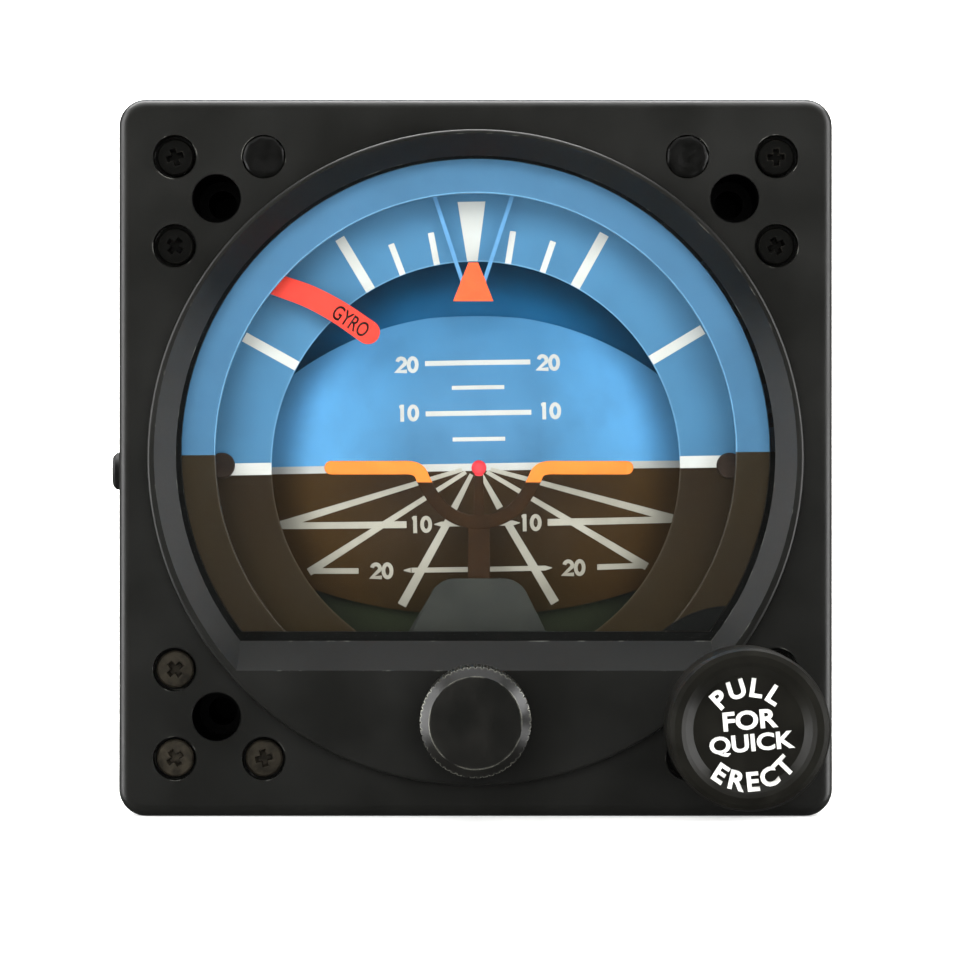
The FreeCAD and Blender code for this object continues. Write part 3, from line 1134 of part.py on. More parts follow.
def make_pull_control():
    """Pull-to-cage knob, its rod, bushing and return spring, and the yoke behind the gimbal."""
    front = "-pull_front"
    back = "(-pull_front + pull_deep)"
    knob = turned("pull_knob", "y", [
        (f"{front} + pull_dish", "0"), (f"{front} + pull_dish * 0.8", "pull_radius - pull_rim - 0.9"),
        (f"{front} + pull_dish * 0.25", "pull_radius - pull_rim"), (front, "pull_radius - pull_rim + 0.5"),
        (front, "pull_radius - 0.8"), (f"{front} + 0.25", "pull_radius - 0.25"),
        (f"{front} + 0.9", "pull_radius"), (f"{back} - 0.8", "pull_radius"), (back, "pull_radius - 0.8"),
        (back, "pull_hub_radius + 0.8"), (f"{back} + 0.8", "pull_hub_radius"),
        ("-bushing_collar_thick - pull_gap", "pull_hub_radius"), ("-bushing_collar_thick - pull_gap", "rod_radius"),
        (f"{front} + 3 * pull_dish", "rod_radius"), (f"{front} + 3 * pull_dish", "0")], PULL)
    add_node(knob, "pull_knob")
    tail = "(yoke_front + yoke_thick + rod_tail)"
    collar = "(flange_thick + case_flange_thick + spring_long)"
    rod = turned("pull_rod", "y", [
        (f"{front} + 3 * pull_dish", "0"), (f"{front} + 3 * pull_dish", "rod_radius"), (collar, "rod_radius"),
        (collar, "collar_radius"), (f"{collar} + collar_thick", "collar_radius"),
        (f"{collar} + collar_thick", "rod_radius"), (tail, "rod_radius"), (tail, "0")], PULL)
    add_node(rod, "pull_rod")
    bushing = turned("pull_bushing", "y", [
        ("-bushing_collar_thick", "rod_radius + running_gap"), ("-bushing_collar_thick", "bushing_collar"),
        ("0", "bushing_collar"), ("0", "pull_bushing_radius"),
        ("flange_thick + case_flange_thick", "pull_bushing_radius"),
        ("flange_thick + case_flange_thick", "rod_radius + running_gap")], PULL)
    add_node(bushing, "pull_bushing")

    yoke = new_body("cage_yoke")
    drawing = sketch(yoke, "front", "yoke_front")
    circle(drawing, "0", "-axis_drop", "tube_radius + yoke_gap + yoke_ring_wall")
    pad(yoke, drawing, "yoke_thick")
    drawing = sketch(yoke, "front", "yoke_front")
    yoke_arm(drawing, "0", "tube_radius + yoke_gap + yoke_ring_wall - 1")
    pad(yoke, drawing, "yoke_thick")
    drawing = sketch(yoke, "front", "yoke_front")
    circle(drawing, BOLT, "-" + BOLT, "rod_radius + 1.2")
    pad(yoke, drawing, "yoke_thick")
    drawing = sketch(yoke, "front", "yoke_front")
    circle(drawing, "0", "-axis_drop", "tube_radius + yoke_gap")
    circle(drawing, BOLT, "-" + BOLT, "rod_radius")
    pocket(yoke, drawing, "yoke_thick")
    add_node(yoke, "cage_yoke")


def make_spring():
    """Return spring round the pull rod, its wire swept along a helix between the two seats."""
    start = "(flange_thick + case_flange_thick + 2 * spring_wire)"
    rise = "(spring_long - 4 * spring_wire)"
    path = doc.addObject("Part::Helix", "spring_path")
    bind(path, "Radius", "spring_radius")
    bind(path, "Height", rise)
    bind(path, "Pitch", f"{rise} / spring_turns")
    wire = doc.addObject("Part::RegularPolygon", "spring_wire_section")
    wire.Polygon = SPRING_SIDE_COUNT
    bind(wire, "Circumradius", "spring_wire")
    wire.Placement.Rotation = FreeCAD.Rotation(FreeCAD.Vector(1, 0, 0), 90)
    bind(wire, "Placement.Base.x", "spring_radius")
    doc.recompute()
    coil = doc.addObject("Part::Sweep", "pull_spring")
    coil.Sections = [wire]
    coil.Spine = (path, ["Edge1"])
    coil.Solid = True
    coil.Frenet = True
    coil.Placement.Rotation = FreeCAD.Rotation(FreeCAD.Vector(1, 0, 0), -90)
    put(coil, (BOLT, start, "-" + BOLT))
    add_node(coil, "pull_spring")


# ---------------------------------------------------------------- warning flag

def make_flag():
    """Warning flag on a pivot pin, and the flat coil on the back of the mask that turns it."""
    at = ("-flag_pivot_x", "0", "flag_pivot_z")
    arm = new_body("flag_arm")
    arm.Placement = FreeCAD.Placement(FreeCAD.Vector(0, 0, 0),
                                      FreeCAD.Rotation(FreeCAD.Vector(0, 1, 0), size("flag_tilt")))
    put(arm, at)
    bind(arm, "Placement.Rotation.Angle", "flag_tilt")
    hub = sketch(arm, "front", "flag_front")
    circle(hub, "0", "0", "flag_hub_radius")
    pad(arm, hub, "flag_thick")
    blade = sketch(arm, "front", "flag_front")
    rectangle(blade, "0", "-flag_wide / 2", "flag_long - flag_wide / 2", "flag_wide / 2")
    pad(arm, blade, "flag_thick")
    tip = sketch(arm, "front", "flag_front")
    circle(tip, "flag_long - flag_wide / 2", "0", "flag_wide / 2")
    pad(arm, tip, "flag_thick")
    add_node(arm, "flag_arm")
    pin = turned("flag_pin", "y", ring(f"{MASK_BACK} + 0.4", "flag_front", "0", "flag_pin_radius"), at)
    add_node(pin, "flag_pin")
    coil = turned("flag_coil", "y", [
        (MASK_BACK, "0"), (MASK_BACK, "coil_radius"), (f"{MASK_BACK} + coil_tall", "coil_radius"),
        (f"{MASK_BACK} + coil_tall", "flag_pin_radius + running_gap"),
        (f"{MASK_BACK} + 0.35", "flag_pin_radius + running_gap"), (f"{MASK_BACK} + 0.35", "0")], at)
    add_node(coil, "flag_coil")


for make in (make_bezel, make_bezel_screws, make_screw_seals, make_window, make_mask, make_bank_pointer,
             make_case, make_rear_cover, make_connector, make_partition, make_electronics,
             make_roll_card, make_roll_gimbal, make_roll_shaft, make_slip_rings, make_roll_bearings,
             make_drum, make_inner_gimbal, make_rotor_case, make_rotor, make_erector,
             make_symbol, make_carrier, make_adjust_knob, make_pull_control, make_spring, make_flag):
    make()
doc.recompute()

faults = [item.Name for item in doc.Objects if "Invalid" in item.State or "Error" in item.State]
for part in NODES:
    if part.Shape.isNull() or not part.Shape.isValid() or not part.Shape.Solids:
        faults.append(part.Label)
if faults:
    raise SystemExit("not built: " + ", ".join(faults))
os.makedirs("parts", exist_ok=True)
for part in NODES:
    part.Shape.exportStep(f"parts/{part.Label}.step")
print(len(NODES), "nodes")
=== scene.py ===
"""Attitude indicator: the finish of every part, the printing, the finely shaped pieces and the studio.

Blender's lengths are metres. Lengths here are millimetres unless they say otherwise.
"""
import math

import bpy
from mathutils import Matrix, Vector


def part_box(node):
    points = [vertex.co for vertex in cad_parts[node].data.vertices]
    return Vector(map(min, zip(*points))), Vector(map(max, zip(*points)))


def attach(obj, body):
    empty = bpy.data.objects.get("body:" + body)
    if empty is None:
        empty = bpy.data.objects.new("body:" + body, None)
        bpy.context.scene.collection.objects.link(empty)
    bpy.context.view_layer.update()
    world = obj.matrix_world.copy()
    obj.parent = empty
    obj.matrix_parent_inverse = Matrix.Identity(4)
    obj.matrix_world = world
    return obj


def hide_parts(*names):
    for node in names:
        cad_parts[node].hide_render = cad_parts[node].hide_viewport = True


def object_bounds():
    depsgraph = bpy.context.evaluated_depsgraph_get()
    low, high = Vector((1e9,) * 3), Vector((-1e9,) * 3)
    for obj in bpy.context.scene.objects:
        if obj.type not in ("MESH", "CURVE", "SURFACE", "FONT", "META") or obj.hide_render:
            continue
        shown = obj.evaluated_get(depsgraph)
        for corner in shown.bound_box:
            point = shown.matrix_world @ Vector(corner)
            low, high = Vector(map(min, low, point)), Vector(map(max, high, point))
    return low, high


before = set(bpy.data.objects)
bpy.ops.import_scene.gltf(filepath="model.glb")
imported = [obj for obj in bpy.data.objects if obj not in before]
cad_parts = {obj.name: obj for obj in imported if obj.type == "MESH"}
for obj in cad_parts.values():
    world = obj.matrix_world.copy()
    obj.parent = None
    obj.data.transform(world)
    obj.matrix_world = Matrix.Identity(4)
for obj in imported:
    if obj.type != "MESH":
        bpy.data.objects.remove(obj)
cad_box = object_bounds()

MM = 0.001
ROLL_CENTRE = Vector((0.0, -0.9))       # x and z of the roll axis, mm
MASK_CENTRE = Vector((0.0, 0.55))       # middle of the round hole in the dial mask, mm
DRUM_DEPTH = 52.0                       # depth of the pitch axis behind the panel face, mm
DRUM_RADIUS = 38.0                      # the pitch drum's rounded face, mm
CARD_FACE = 12.5                        # depth of the roll card's face, mm
CARD_TILT = 0.93                        # the gimbals rest this many degrees off level
PRINT_THICK = 0.05                      # a coat of printing ink, drawn thick enough to catch light, mm
KNOB_CENTRE = Vector((31.435, -31.435))  # pull knob; the mounting holes share its distances, mm
FLAG_PIVOT = Vector((-27.2, 22.3))      # the pin that the warning flag swings on, mm
SYMBOL_CENTRE = (0.4, 0.0, -1.2)        # the symbol's bead, mm
POINTER_FOOT = (-0.3, 0.0, 19.5)        # middle of the pointer triangle's base, mm
# The drum's paint turns lighter, to these two colours, over this reach to each side of its middle, mm:
# painted light on the flanks, where the drum's curve falls into shade.
FLANK_START, FLANK_END = 8.0, 20.0
LIT_FLANK_SKY, LIT_FLANK_GROUND = "#66b0e8", "#4a3418"

INK_LIFT = 0.4                          # share of its thickness that the ink's middle stands off its face
NOISE_ROUGH = 0.55                      # how strongly a noise's finer detail shows
COAT_INDEX = 1.5                        # refraction of the coated finishes that aren't metal
PAINT_ROUGH = (0.46, 0.6)               # range of roughness of the matt dial paints


# ---------------------------------------------------------------- material tools

def linear(colour):
    """An sRGB hex colour as linear red, green, blue, alpha."""
    parts = [int(colour[place:place + 2], 16) / 255 for place in (1, 3, 5)]
    return [part / 12.92 if part <= 0.04045 else ((part + 0.055) / 1.055) ** 2.4
            for part in parts] + [1.0]


def per_mm(size):
    """Noise scale that gives features of about this many millimetres."""
    return 1.0 / (size * MM)


def add(tree, kind, sockets, **settings):
    """Adds one node: settings are its own, sockets are values or other nodes' outputs."""
    node = tree.nodes.new(kind)
    for name, value in settings.items():
        setattr(node, name, value)
    for key, value in sockets.items():
        if isinstance(value, bpy.types.NodeSocket):
            tree.links.new(value, node.inputs[key])
        else:
            node.inputs[key].default_value = value
    return node


def start_material(name):
    """An empty material: its tree, its place output and its surface shader joined to the output."""
    material = bpy.data.materials.new(name)
    material.use_nodes = True
    tree = material.node_tree
    tree.nodes.clear()
    place = add(tree, "ShaderNodeTexCoord", {}).outputs["Object"]
    shader = add(tree, "ShaderNodeBsdfPrincipled", {})
    add(tree, "ShaderNodeOutputMaterial", {"Surface": shader.outputs["BSDF"]})
    return material, tree, place, shader


def mix(tree, share, first, second):
    """Colour between two colours or colour outputs."""
    return add(tree, "ShaderNodeMix", {0: share, 6: first, 7: second}, data_type="RGBA").outputs[2]


def spread(tree, value, low, high, to_low=0.0, to_high=1.0):
    """The value's range from low to high, stretched to another range and held at its ends."""
    return add(tree, "ShaderNodeMapRange", {"Value": value, "From Min": low, "From Max": high,
                                            "To Min": to_low, "To Max": to_high}).outputs["Result"]


def noise(tree, place, size, detail=4.0):
    """Soft patches of about this many millimetres, 0 to 1."""
    return add(tree, "ShaderNodeTexNoise", {"Vector": place, "Scale": per_mm(size), "Detail": detail,
                                            "Roughness": NOISE_ROUGH}).outputs["Fac"]


def maths(tree, operation, first, second=0.0):
    """One sum on two numbers or outputs."""
    return add(tree, "ShaderNodeMath", {0: first, 1: second}, operation=operation).outputs[0]


def along(tree, place, direction, origin=(0.0, 0.0, 0.0)):
    """Distance of a point from origin along a direction, in metres."""
    moved = add(tree, "ShaderNodeVectorMath", {0: place, 1: Vector(origin) * MM}, operation="SUBTRACT")
    return add(tree, "ShaderNodeVectorMath", {0: moved.outputs[0], 1: Vector(direction).normalized()},
               operation="DOT_PRODUCT").outputs["Value"]


def from_axis(tree, place, centre):
    """Distance of a point from an axis along the depth, in metres."""
    shift = (-centre[0] * MM, 0.0, -centre[1] * MM)
    flat = add(tree, "ShaderNodeMapping",
               {"Vector": place, "Location": shift, "Scale": (1.0, 0.0, 1.0)}).outputs["Vector"]
    return add(tree, "ShaderNodeVectorMath", {0: flat}, operation="LENGTH").outputs["Value"]


def worn_edges(tree, place, width, patch, amount):
    """Share of bare material on the outer edges, broken up by patches of this many millimetres."""
    rounded = add(tree, "ShaderNodeBevel", {"Radius": width * MM}, samples=6).outputs["Normal"]
    true = add(tree, "ShaderNodeNewGeometry", {}).outputs["Normal"]
    likeness = add(tree, "ShaderNodeVectorMath", {0: rounded, 1: true},
                   operation="DOT_PRODUCT").outputs["Value"]
    edge = spread(tree, likeness, 0.995, 0.88)
    patches = spread(tree, noise(tree, place, patch), 0.62 - amount * 0.3, 0.75 - amount * 0.2)
    return maths(tree, "MULTIPLY", edge, patches)


def bumped(tree, shader, heights):
    """Joins bumps, (height output, depth in mm), one on another, to the shader."""
    normal = None
    for height, depth in heights:
        sockets = {"Height": height, "Distance": depth * MM, "Strength": 1.0}
        if normal:
            sockets["Normal"] = normal
        normal = add(tree, "ShaderNodeBump", sockets).outputs["Normal"]
    tree.links.new(normal, shader.inputs["Normal"])


def coated(name, colour, faded, roughness, patch=9.0, grain=0.28, depth=0.006, metal=0.0, bare=None,
           edge=0.25, wear=0.5, coat=0.0, level=0.5, shaded_bores=0.0):
    """A coat over a solid: tone drifts in patches, fine grain breaks the gloss, worn edges may show."""
    material, tree, place, shader = start_material(name)
    drift = spread(tree, noise(tree, place, patch, 3.0), 0.35, 0.68)
    tone = mix(tree, drift, linear(colour), linear(faded))
    grit = noise(tree, place, grain, 2.0)
    both = maths(tree, "ADD", maths(tree, "MULTIPLY", drift, 0.5), maths(tree, "MULTIPLY", grit, 0.5))
    gloss = spread(tree, both, 0.25, 0.75, roughness[0], roughness[1])
    shader.inputs["Metallic"].default_value = metal
    if metal < 0.5:
        shader.inputs["IOR"].default_value = COAT_INDEX
    if coat:
        shader.inputs["Coat Weight"].default_value = coat
        shader.inputs["Coat Roughness"].default_value = 0.12
    if bare:
        rubbed = worn_edges(tree, place, edge, 2.4, wear)
        tone = mix(tree, rubbed, tone, linear(bare))
        shine = maths(tree, "MULTIPLY", rubbed, 0.85)
        tree.links.new(maths(tree, "MAXIMUM", shine, metal), shader.inputs["Metallic"])
        gloss = maths(tree, "SUBTRACT", gloss, maths(tree, "MULTIPLY", rubbed, 0.08))
    if shaded_bores:                           # painted shade: within this radius in mm of each mounting hole's axis the walls are painted near black
        offs = []
        for way in ((1, 0, 0), (0, 0, 1)):
            side = maths(tree, "ABSOLUTE", along(tree, place, way))
            offs.append(maths(tree, "POWER", maths(tree, "SUBTRACT", side, KNOB_CENTRE.x * MM), 2.0))
        reach = maths(tree, "POWER", maths(tree, "ADD", *offs), 0.5)
        inside = spread(tree, reach, (shaded_bores + 0.03) * MM, (shaded_bores - 0.03) * MM)
        tone = mix(tree, inside, tone, linear("#020202"))
    shader.inputs["Specular IOR Level"].default_value = level
    tree.links.new(tone, shader.inputs["Base Color"])
    tree.links.new(gloss, shader.inputs["Roughness"])
    bumped(tree, shader, [(grit, depth), (noise(tree, place, grain * 9, 2.0), depth * 1.6)])
    return material


# ---------------------------------------------------------------- finishes

# Satin enamel sprayed on die-cast alloy: near black, a soft broad sheen and a fine orange peel. Its mounting
# holes are painted near black, a painted shade.
bezel_enamel = coated("satin enamel on die-cast alloy", "#0f0f0d", "#161614", (0.34, 0.46), patch=14,
                      grain=0.35, depth=0.005, bare="#8d8d86", edge=0.22, wear=0.16, level=0.4, shaded_bores=3.0)
# Black enamel on the drawn aluminium can: the same sheen, an even tone and aluminium at the worn edges. Its
# mounting holes are painted near black too, a painted shade.
case_enamel = coated("black enamel on drawn aluminium", "#0e0e0e", "#121211", (0.37, 0.43), patch=22,
                     grain=0.4, depth=0.005, bare="#96968f", edge=0.25, wear=0.2, level=0.4, shaded_bores=5.2)
# Mill-finish aluminium, turned: pale grey metal with a tight tool grain.
turned_aluminium = coated("turned aluminium", "#b4b5b4", "#9b9d9d", (0.26, 0.42), patch=5, grain=0.12,
                          depth=0.002, metal=1.0)
# Ground tool steel: darker grey and glossier than the aluminium.
ground_steel = coated("ground steel", "#8b8d8f", "#74777a", (0.18, 0.34), patch=4, grain=0.1,
                      depth=0.0015, metal=1.0)
# Machined brass: warm yellow metal dulled by handling.
machined_brass = coated("machined brass", "#b8924e", "#9a7338", (0.22, 0.42), patch=3, grain=0.12,
                        depth=0.002, metal=1.0)
# Nitrile rubber: dead black, matt, slightly chalky.
nitrile_rubber = coated("nitrile rubber", "#070706", "#0d0d0c", (0.62, 0.8), patch=4, grain=0.2, depth=0.01)
# Glass-filled moulding compound: brown-black with a dry sheen.
moulding_compound = coated("phenolic moulding", "#2a231d", "#1d1813", (0.4, 0.55), patch=3, grain=0.18,
                           depth=0.004)
# Fibreglass circuit board with a varnish coat: deep green, glossy.
varnished_board = coated("varnished fibreglass board", "#21402a", "#2c4d31", (0.2, 0.34), patch=6, grain=0.3,
                         depth=0.01, coat=0.4)
# Copper windings under varnish: reddish brown, glossy ridges.
varnished_copper = coated("varnished copper winding", "#8a4a2b", "#6e3820", (0.25, 0.4), patch=2, grain=0.3,
                          depth=0.02, metal=0.8)
# Grey enamel on sheet brass: the carrier behind the symbol.
carrier_enamel = coated("grey enamel on sheet metal", "#2c2d2a", "#343530", (0.42, 0.56), patch=5, grain=0.2,
                        depth=0.004, bare="#77756c", edge=0.12, wear=0.3)
# Anodised knob: black dyed aluminium, its edges rubbed to grey metal by fingers.
anodised_knob = coated("black anodised aluminium", "#0d0d0b", "#141310", (0.3, 0.44), patch=4, grain=0.16,
                       depth=0.003, bare="#8f8f84", edge=0.3, wear=0.75)
# Moulded pull knob: black plastic with a soft sheen and no bare metal.
knob_plastic = coated("moulded black plastic", "#0b0a07", "#12110c", (0.34, 0.46), patch=5, grain=0.3,
                      depth=0.006, level=0.3)
# Screw sealing compound: black wax pressed in by hand, half glossy on its dents.
sealing_wax = coated("black sealing compound", "#040403", "#090908", (0.36, 0.55), patch=1.5, grain=0.5,
                     depth=0.03, level=0.3)
# Screen inks: off-white and black, matt, slightly uneven; on the ground half the white has yellowed.
white_ink = coated("white screen ink", "#d2d3d0", "#c9c8c2", (0.5, 0.62), patch=6, grain=0.15, depth=0.003)
dust_ink = coated("aged white screen ink", "#c6c1b4", "#b6b0a2", (0.5, 0.62), patch=6, grain=0.15,
                  depth=0.003)
black_ink = coated("black screen ink", "#17130f", "#241a15", (0.5, 0.6), patch=3, grain=0.15, depth=0.003)


def screw_steel():
    """Blacked steel screws: oxide black, those at the lower left rubbed to dull bronze by the driver."""
    material, tree, place, shader = start_material("blacked steel screws")
    corner = spread(tree, along(tree, place, (-1.0, 0.0, -1.0)), 0.022, 0.056)
    patches = spread(tree, noise(tree, place, 1.1, 5.0), 0.34, 0.62, 0.35, 1.0)
    rubbed = maths(tree, "MULTIPLY", corner, patches)
    tone = mix(tree, rubbed, linear("#141412"), linear("#4d473c"))
    edge = worn_edges(tree, place, 0.12, 1.4, 0.5)
    tree.links.new(mix(tree, edge, tone, linear("#5a564e")), shader.inputs["Base Color"])
    tree.links.new(spread(tree, rubbed, 0.0, 1.0, 0.42, 0.34), shader.inputs["Roughness"])
    shader.inputs["Metallic"].default_value = 0.7
    bumped(tree, shader, [(noise(tree, place, 0.15, 3.0), 0.008)])
    return material


def split_paint(name, sky, low_sky, ground, low_ground, level, tilt, edge_highlight=None, span=30.0,
                centre=ROLL_CENTRE, deep=None):
    """Matt dial paint in two colours: sky above a straight masked edge, ground below it, each fading down.

    The edge argument draws a fine light line at a radius: a painted highlight on the edge of a hole.
    deep is the drum's alone: lighter flanks, a painted light, and inside a radius a skirt in darker
    copies of the sky and ground, a painted shade.
    """
    material, tree, place, shader = start_material(name)
    turn = math.radians(tilt)
    up = (-math.sin(turn), 0.0, math.cos(turn))
    height = along(tree, place, up, (centre[0], 0.0, centre[1]))
    above = spread(tree, height, (level - 0.03) * MM, (level + 0.03) * MM)
    sky_tone = mix(tree, spread(tree, height, 0.0, span * MM), linear(low_sky), linear(sky))
    ground_tone = mix(tree, spread(tree, height, -span * MM, 0.0), linear(low_ground), linear(ground))
    tone = mix(tree, above, ground_tone, sky_tone)
    # Painted highlight: a fine light line along the hole's edge, lighter blue above and lighter brown below.
    if edge_highlight:
        radius, width, light, dim = edge_highlight
        off = maths(tree, "ABSOLUTE", maths(tree, "SUBTRACT", from_axis(tree, place, centre), radius * MM))
        on_edge_highlight = spread(tree, off, (width + 0.02) * MM, (width - 0.02) * MM)
        tone = mix(tree, on_edge_highlight, tone, mix(tree, above, linear(dim), linear(light)))
    if deep:
        radius, shaded_skirt_sky, shaded_skirt_ground = deep
        # Painted light: the flanks turn to lighter copies of the sky and ground paint.
        middle = (centre[0], 0.0, centre[1])
        side = maths(tree, "ABSOLUTE", along(tree, place, (1.0, 0.0, 0.0), middle))
        lit_flank = spread(tree, side, FLANK_START * MM, FLANK_END * MM)
        tone = mix(tree, lit_flank, tone, mix(tree, above, linear(LIT_FLANK_GROUND), linear(LIT_FLANK_SKY)))
        # Painted shade: inside the skirt's radius the paint turns to darker copies of the sky and ground.
        axis = Vector((0.0, DRUM_DEPTH, ROLL_CENTRE.y)) * MM
        reach = add(tree, "ShaderNodeVectorMath", {0: place, 1: axis}, operation="DISTANCE").outputs["Value"]
        behind = spread(tree, reach, (radius + 0.2) * MM, (radius - 0.2) * MM)
        tone = mix(tree, behind, tone, mix(tree, above, linear(shaded_skirt_ground), linear(shaded_skirt_sky)))
    patches = noise(tree, place, 5.0, 5.0)
    tone = mix(tree, spread(tree, patches, 0.42, 0.8, 0.0, 0.16), tone, linear("#2b2a2a"))
    tree.links.new(tone, shader.inputs["Base Color"])
    tree.links.new(spread(tree, patches, 0.3, 0.7, *PAINT_ROUGH), shader.inputs["Roughness"])
    bumped(tree, shader, [(noise(tree, place, 0.2, 2.0), 0.003)])
    return material


def symbol_paint():
    """Aeroplane symbol: fluorescent orange wings, brown centre arc and post, red centre bead."""
    material, tree, place, shader = start_material("hand-painted symbol enamel")
    centre = SYMBOL_CENTRE
    across = maths(tree, "ABSOLUTE", along(tree, place, (1, 0, 0), centre))
    wide = spread(tree, across, 4.9 * MM, 5.0 * MM)
    high = spread(tree, along(tree, place, (0, 0, 1), centre), -1.85 * MM, -1.75 * MM)
    orange = maths(tree, "MULTIPLY", wide, high)
    bead = spread(tree, from_axis(tree, place, (centre[0], centre[2])), 1.06 * MM, 1.0 * MM)
    patches = noise(tree, place, 2.2, 4.0)
    brown = mix(tree, spread(tree, patches, 0.35, 0.7), linear("#341d03"), linear("#2a1702"))
    warm = mix(tree, spread(tree, patches, 0.35, 0.7), linear("#ff8624"), linear("#f87e22"))
    tone = mix(tree, orange, brown, warm)
    tone = mix(tree, bead, tone, linear("#f43a44"))
    tree.links.new(tone, shader.inputs["Base Color"])
    tree.links.new(spread(tree, patches, 0.3, 0.7, 0.38, 0.5), shader.inputs["Roughness"])
    bumped(tree, shader, [(noise(tree, place, 0.25, 2.0), 0.004)])
    return material


def pointer_paint():
    """Bank pointer: orange triangle on two pale blue struts."""
    material, tree, place, shader = start_material("pointer enamel")
    centre = POINTER_FOOT
    across = maths(tree, "ABSOLUTE", along(tree, place, (1, 0, 0), centre))
    height = along(tree, place, (0, 0, 1), centre)
    side = spread(tree, height, 0.0, 4.8 * MM, 2.52 * MM, 0.68 * MM)
    inside = spread(tree, maths(tree, "SUBTRACT", across, side), 0.02 * MM, -0.02 * MM)
    low = spread(tree, height, 4.9 * MM, 4.8 * MM)
    patches = spread(tree, noise(tree, place, 1.6, 4.0), 0.35, 0.7)
    warm = mix(tree, patches, linear("#ff6029"), linear("#f35827"))
    pale = mix(tree, patches, linear("#5b97c8"), linear("#528cbc"))
    triangle = maths(tree, "MULTIPLY", inside, low)
    tree.links.new(mix(tree, triangle, pale, warm), shader.inputs["Base Color"])
    tree.links.new(spread(tree, patches, 0.0, 1.0, 0.4, 0.5), shader.inputs["Roughness"])
    bumped(tree, shader, [(noise(tree, place, 0.2, 2.0), 0.003)])
    return material


def clear_glass():
    """Float glass: nearly invisible face on, with a thin mirror of the lights and a faint grey bloom."""
    material, tree, place, shader = start_material("float glass")
    smear = noise(tree, place, 12.0, 4.0)
    rim = add(tree, "ShaderNodeFresnel", {"IOR": 1.5}).outputs[0]
    clear = add(tree, "ShaderNodeBsdfTransparent", {"Color": (0.97, 0.98, 0.975, 1.0)}).outputs[0]
    shader.inputs["Base Color"].default_value = linear("#6f7572")
    tree.links.new(spread(tree, smear, 0.3, 0.7, 0.02, 0.07), shader.inputs["Roughness"])
    gloss = add(tree, "ShaderNodeBsdfGlossy", {"Color": (1.0, 1.0, 1.0, 1.0), "Roughness": 0.03}).outputs[0]
    bloom = add(tree, "ShaderNodeMixShader", {0: 0.993, 1: shader.outputs["BSDF"], 2: clear}).outputs[0]
    mirror = maths(tree, "MULTIPLY", rim, 0.55)
    face = add(tree, "ShaderNodeMixShader", {0: mirror, 1: bloom, 2: gloss}).outputs[0]
    output = [node for node in tree.nodes if node.type == "OUTPUT_MATERIAL"][0]
    tree.links.new(face, output.inputs["Surface"])
    return material


# Matt dial paints: flat, soft tones with a faint mottle; the mask is darker than the card and the drum. The
# fine light lines round the holes in the mask and the card are painted highlights on their edges.
mask_paint = split_paint("matt mask paint", "#3f7196", "#396c91", "#2b1f09", "#241907", -0.01, 0.33,
                         edge_highlight=(32.05, 0.07, "#6a9fc6", "#463c30"), centre=MASK_CENTRE)
card_paint = split_paint("matt roll card paint", "#447ea6", "#3d779f", "#2a1b05", "#30260f", -0.2,
                         CARD_TILT, edge_highlight=(25.6, 0.06, "#659ac2", "#463a2c"), span=38.0)
# The drum's flanks are painted lighter, a painted light, and its skirt a darker blue and olive, a painted
# shade.
drum_paint = split_paint("matt drum paint", "#4d88b4", "#4a85b1", "#3d2810", "#332611", -0.25, CARD_TILT,
                         span=19.0, deep=(37.2, "#1f6898", "#3a3f2d"))
# The gimbal ring behind the card is dipped in the same blue and brown, but sits in shade.
ring_paint = split_paint("matt gimbal paint", "#3f80b5", "#3978ad", "#3b2a1d", "#2c2118", -0.2, CARD_TILT,
                         span=38.0)
# Fluorescent enamel on the flag: a hot, flat red.
flag_paint = coated("fluorescent flag enamel", "#ee3a27", "#e73424", (0.4, 0.52), patch=4, grain=0.2,
                    depth=0.004)
# Card screws are blacked and then painted over with the dial brown.
browned_steel = coated("browned screw heads", "#3a2a20", "#2a1f18", (0.4, 0.55), patch=1.5, grain=0.15,
                       depth=0.006, bare="#7b6a58", edge=0.1, wear=0.3)

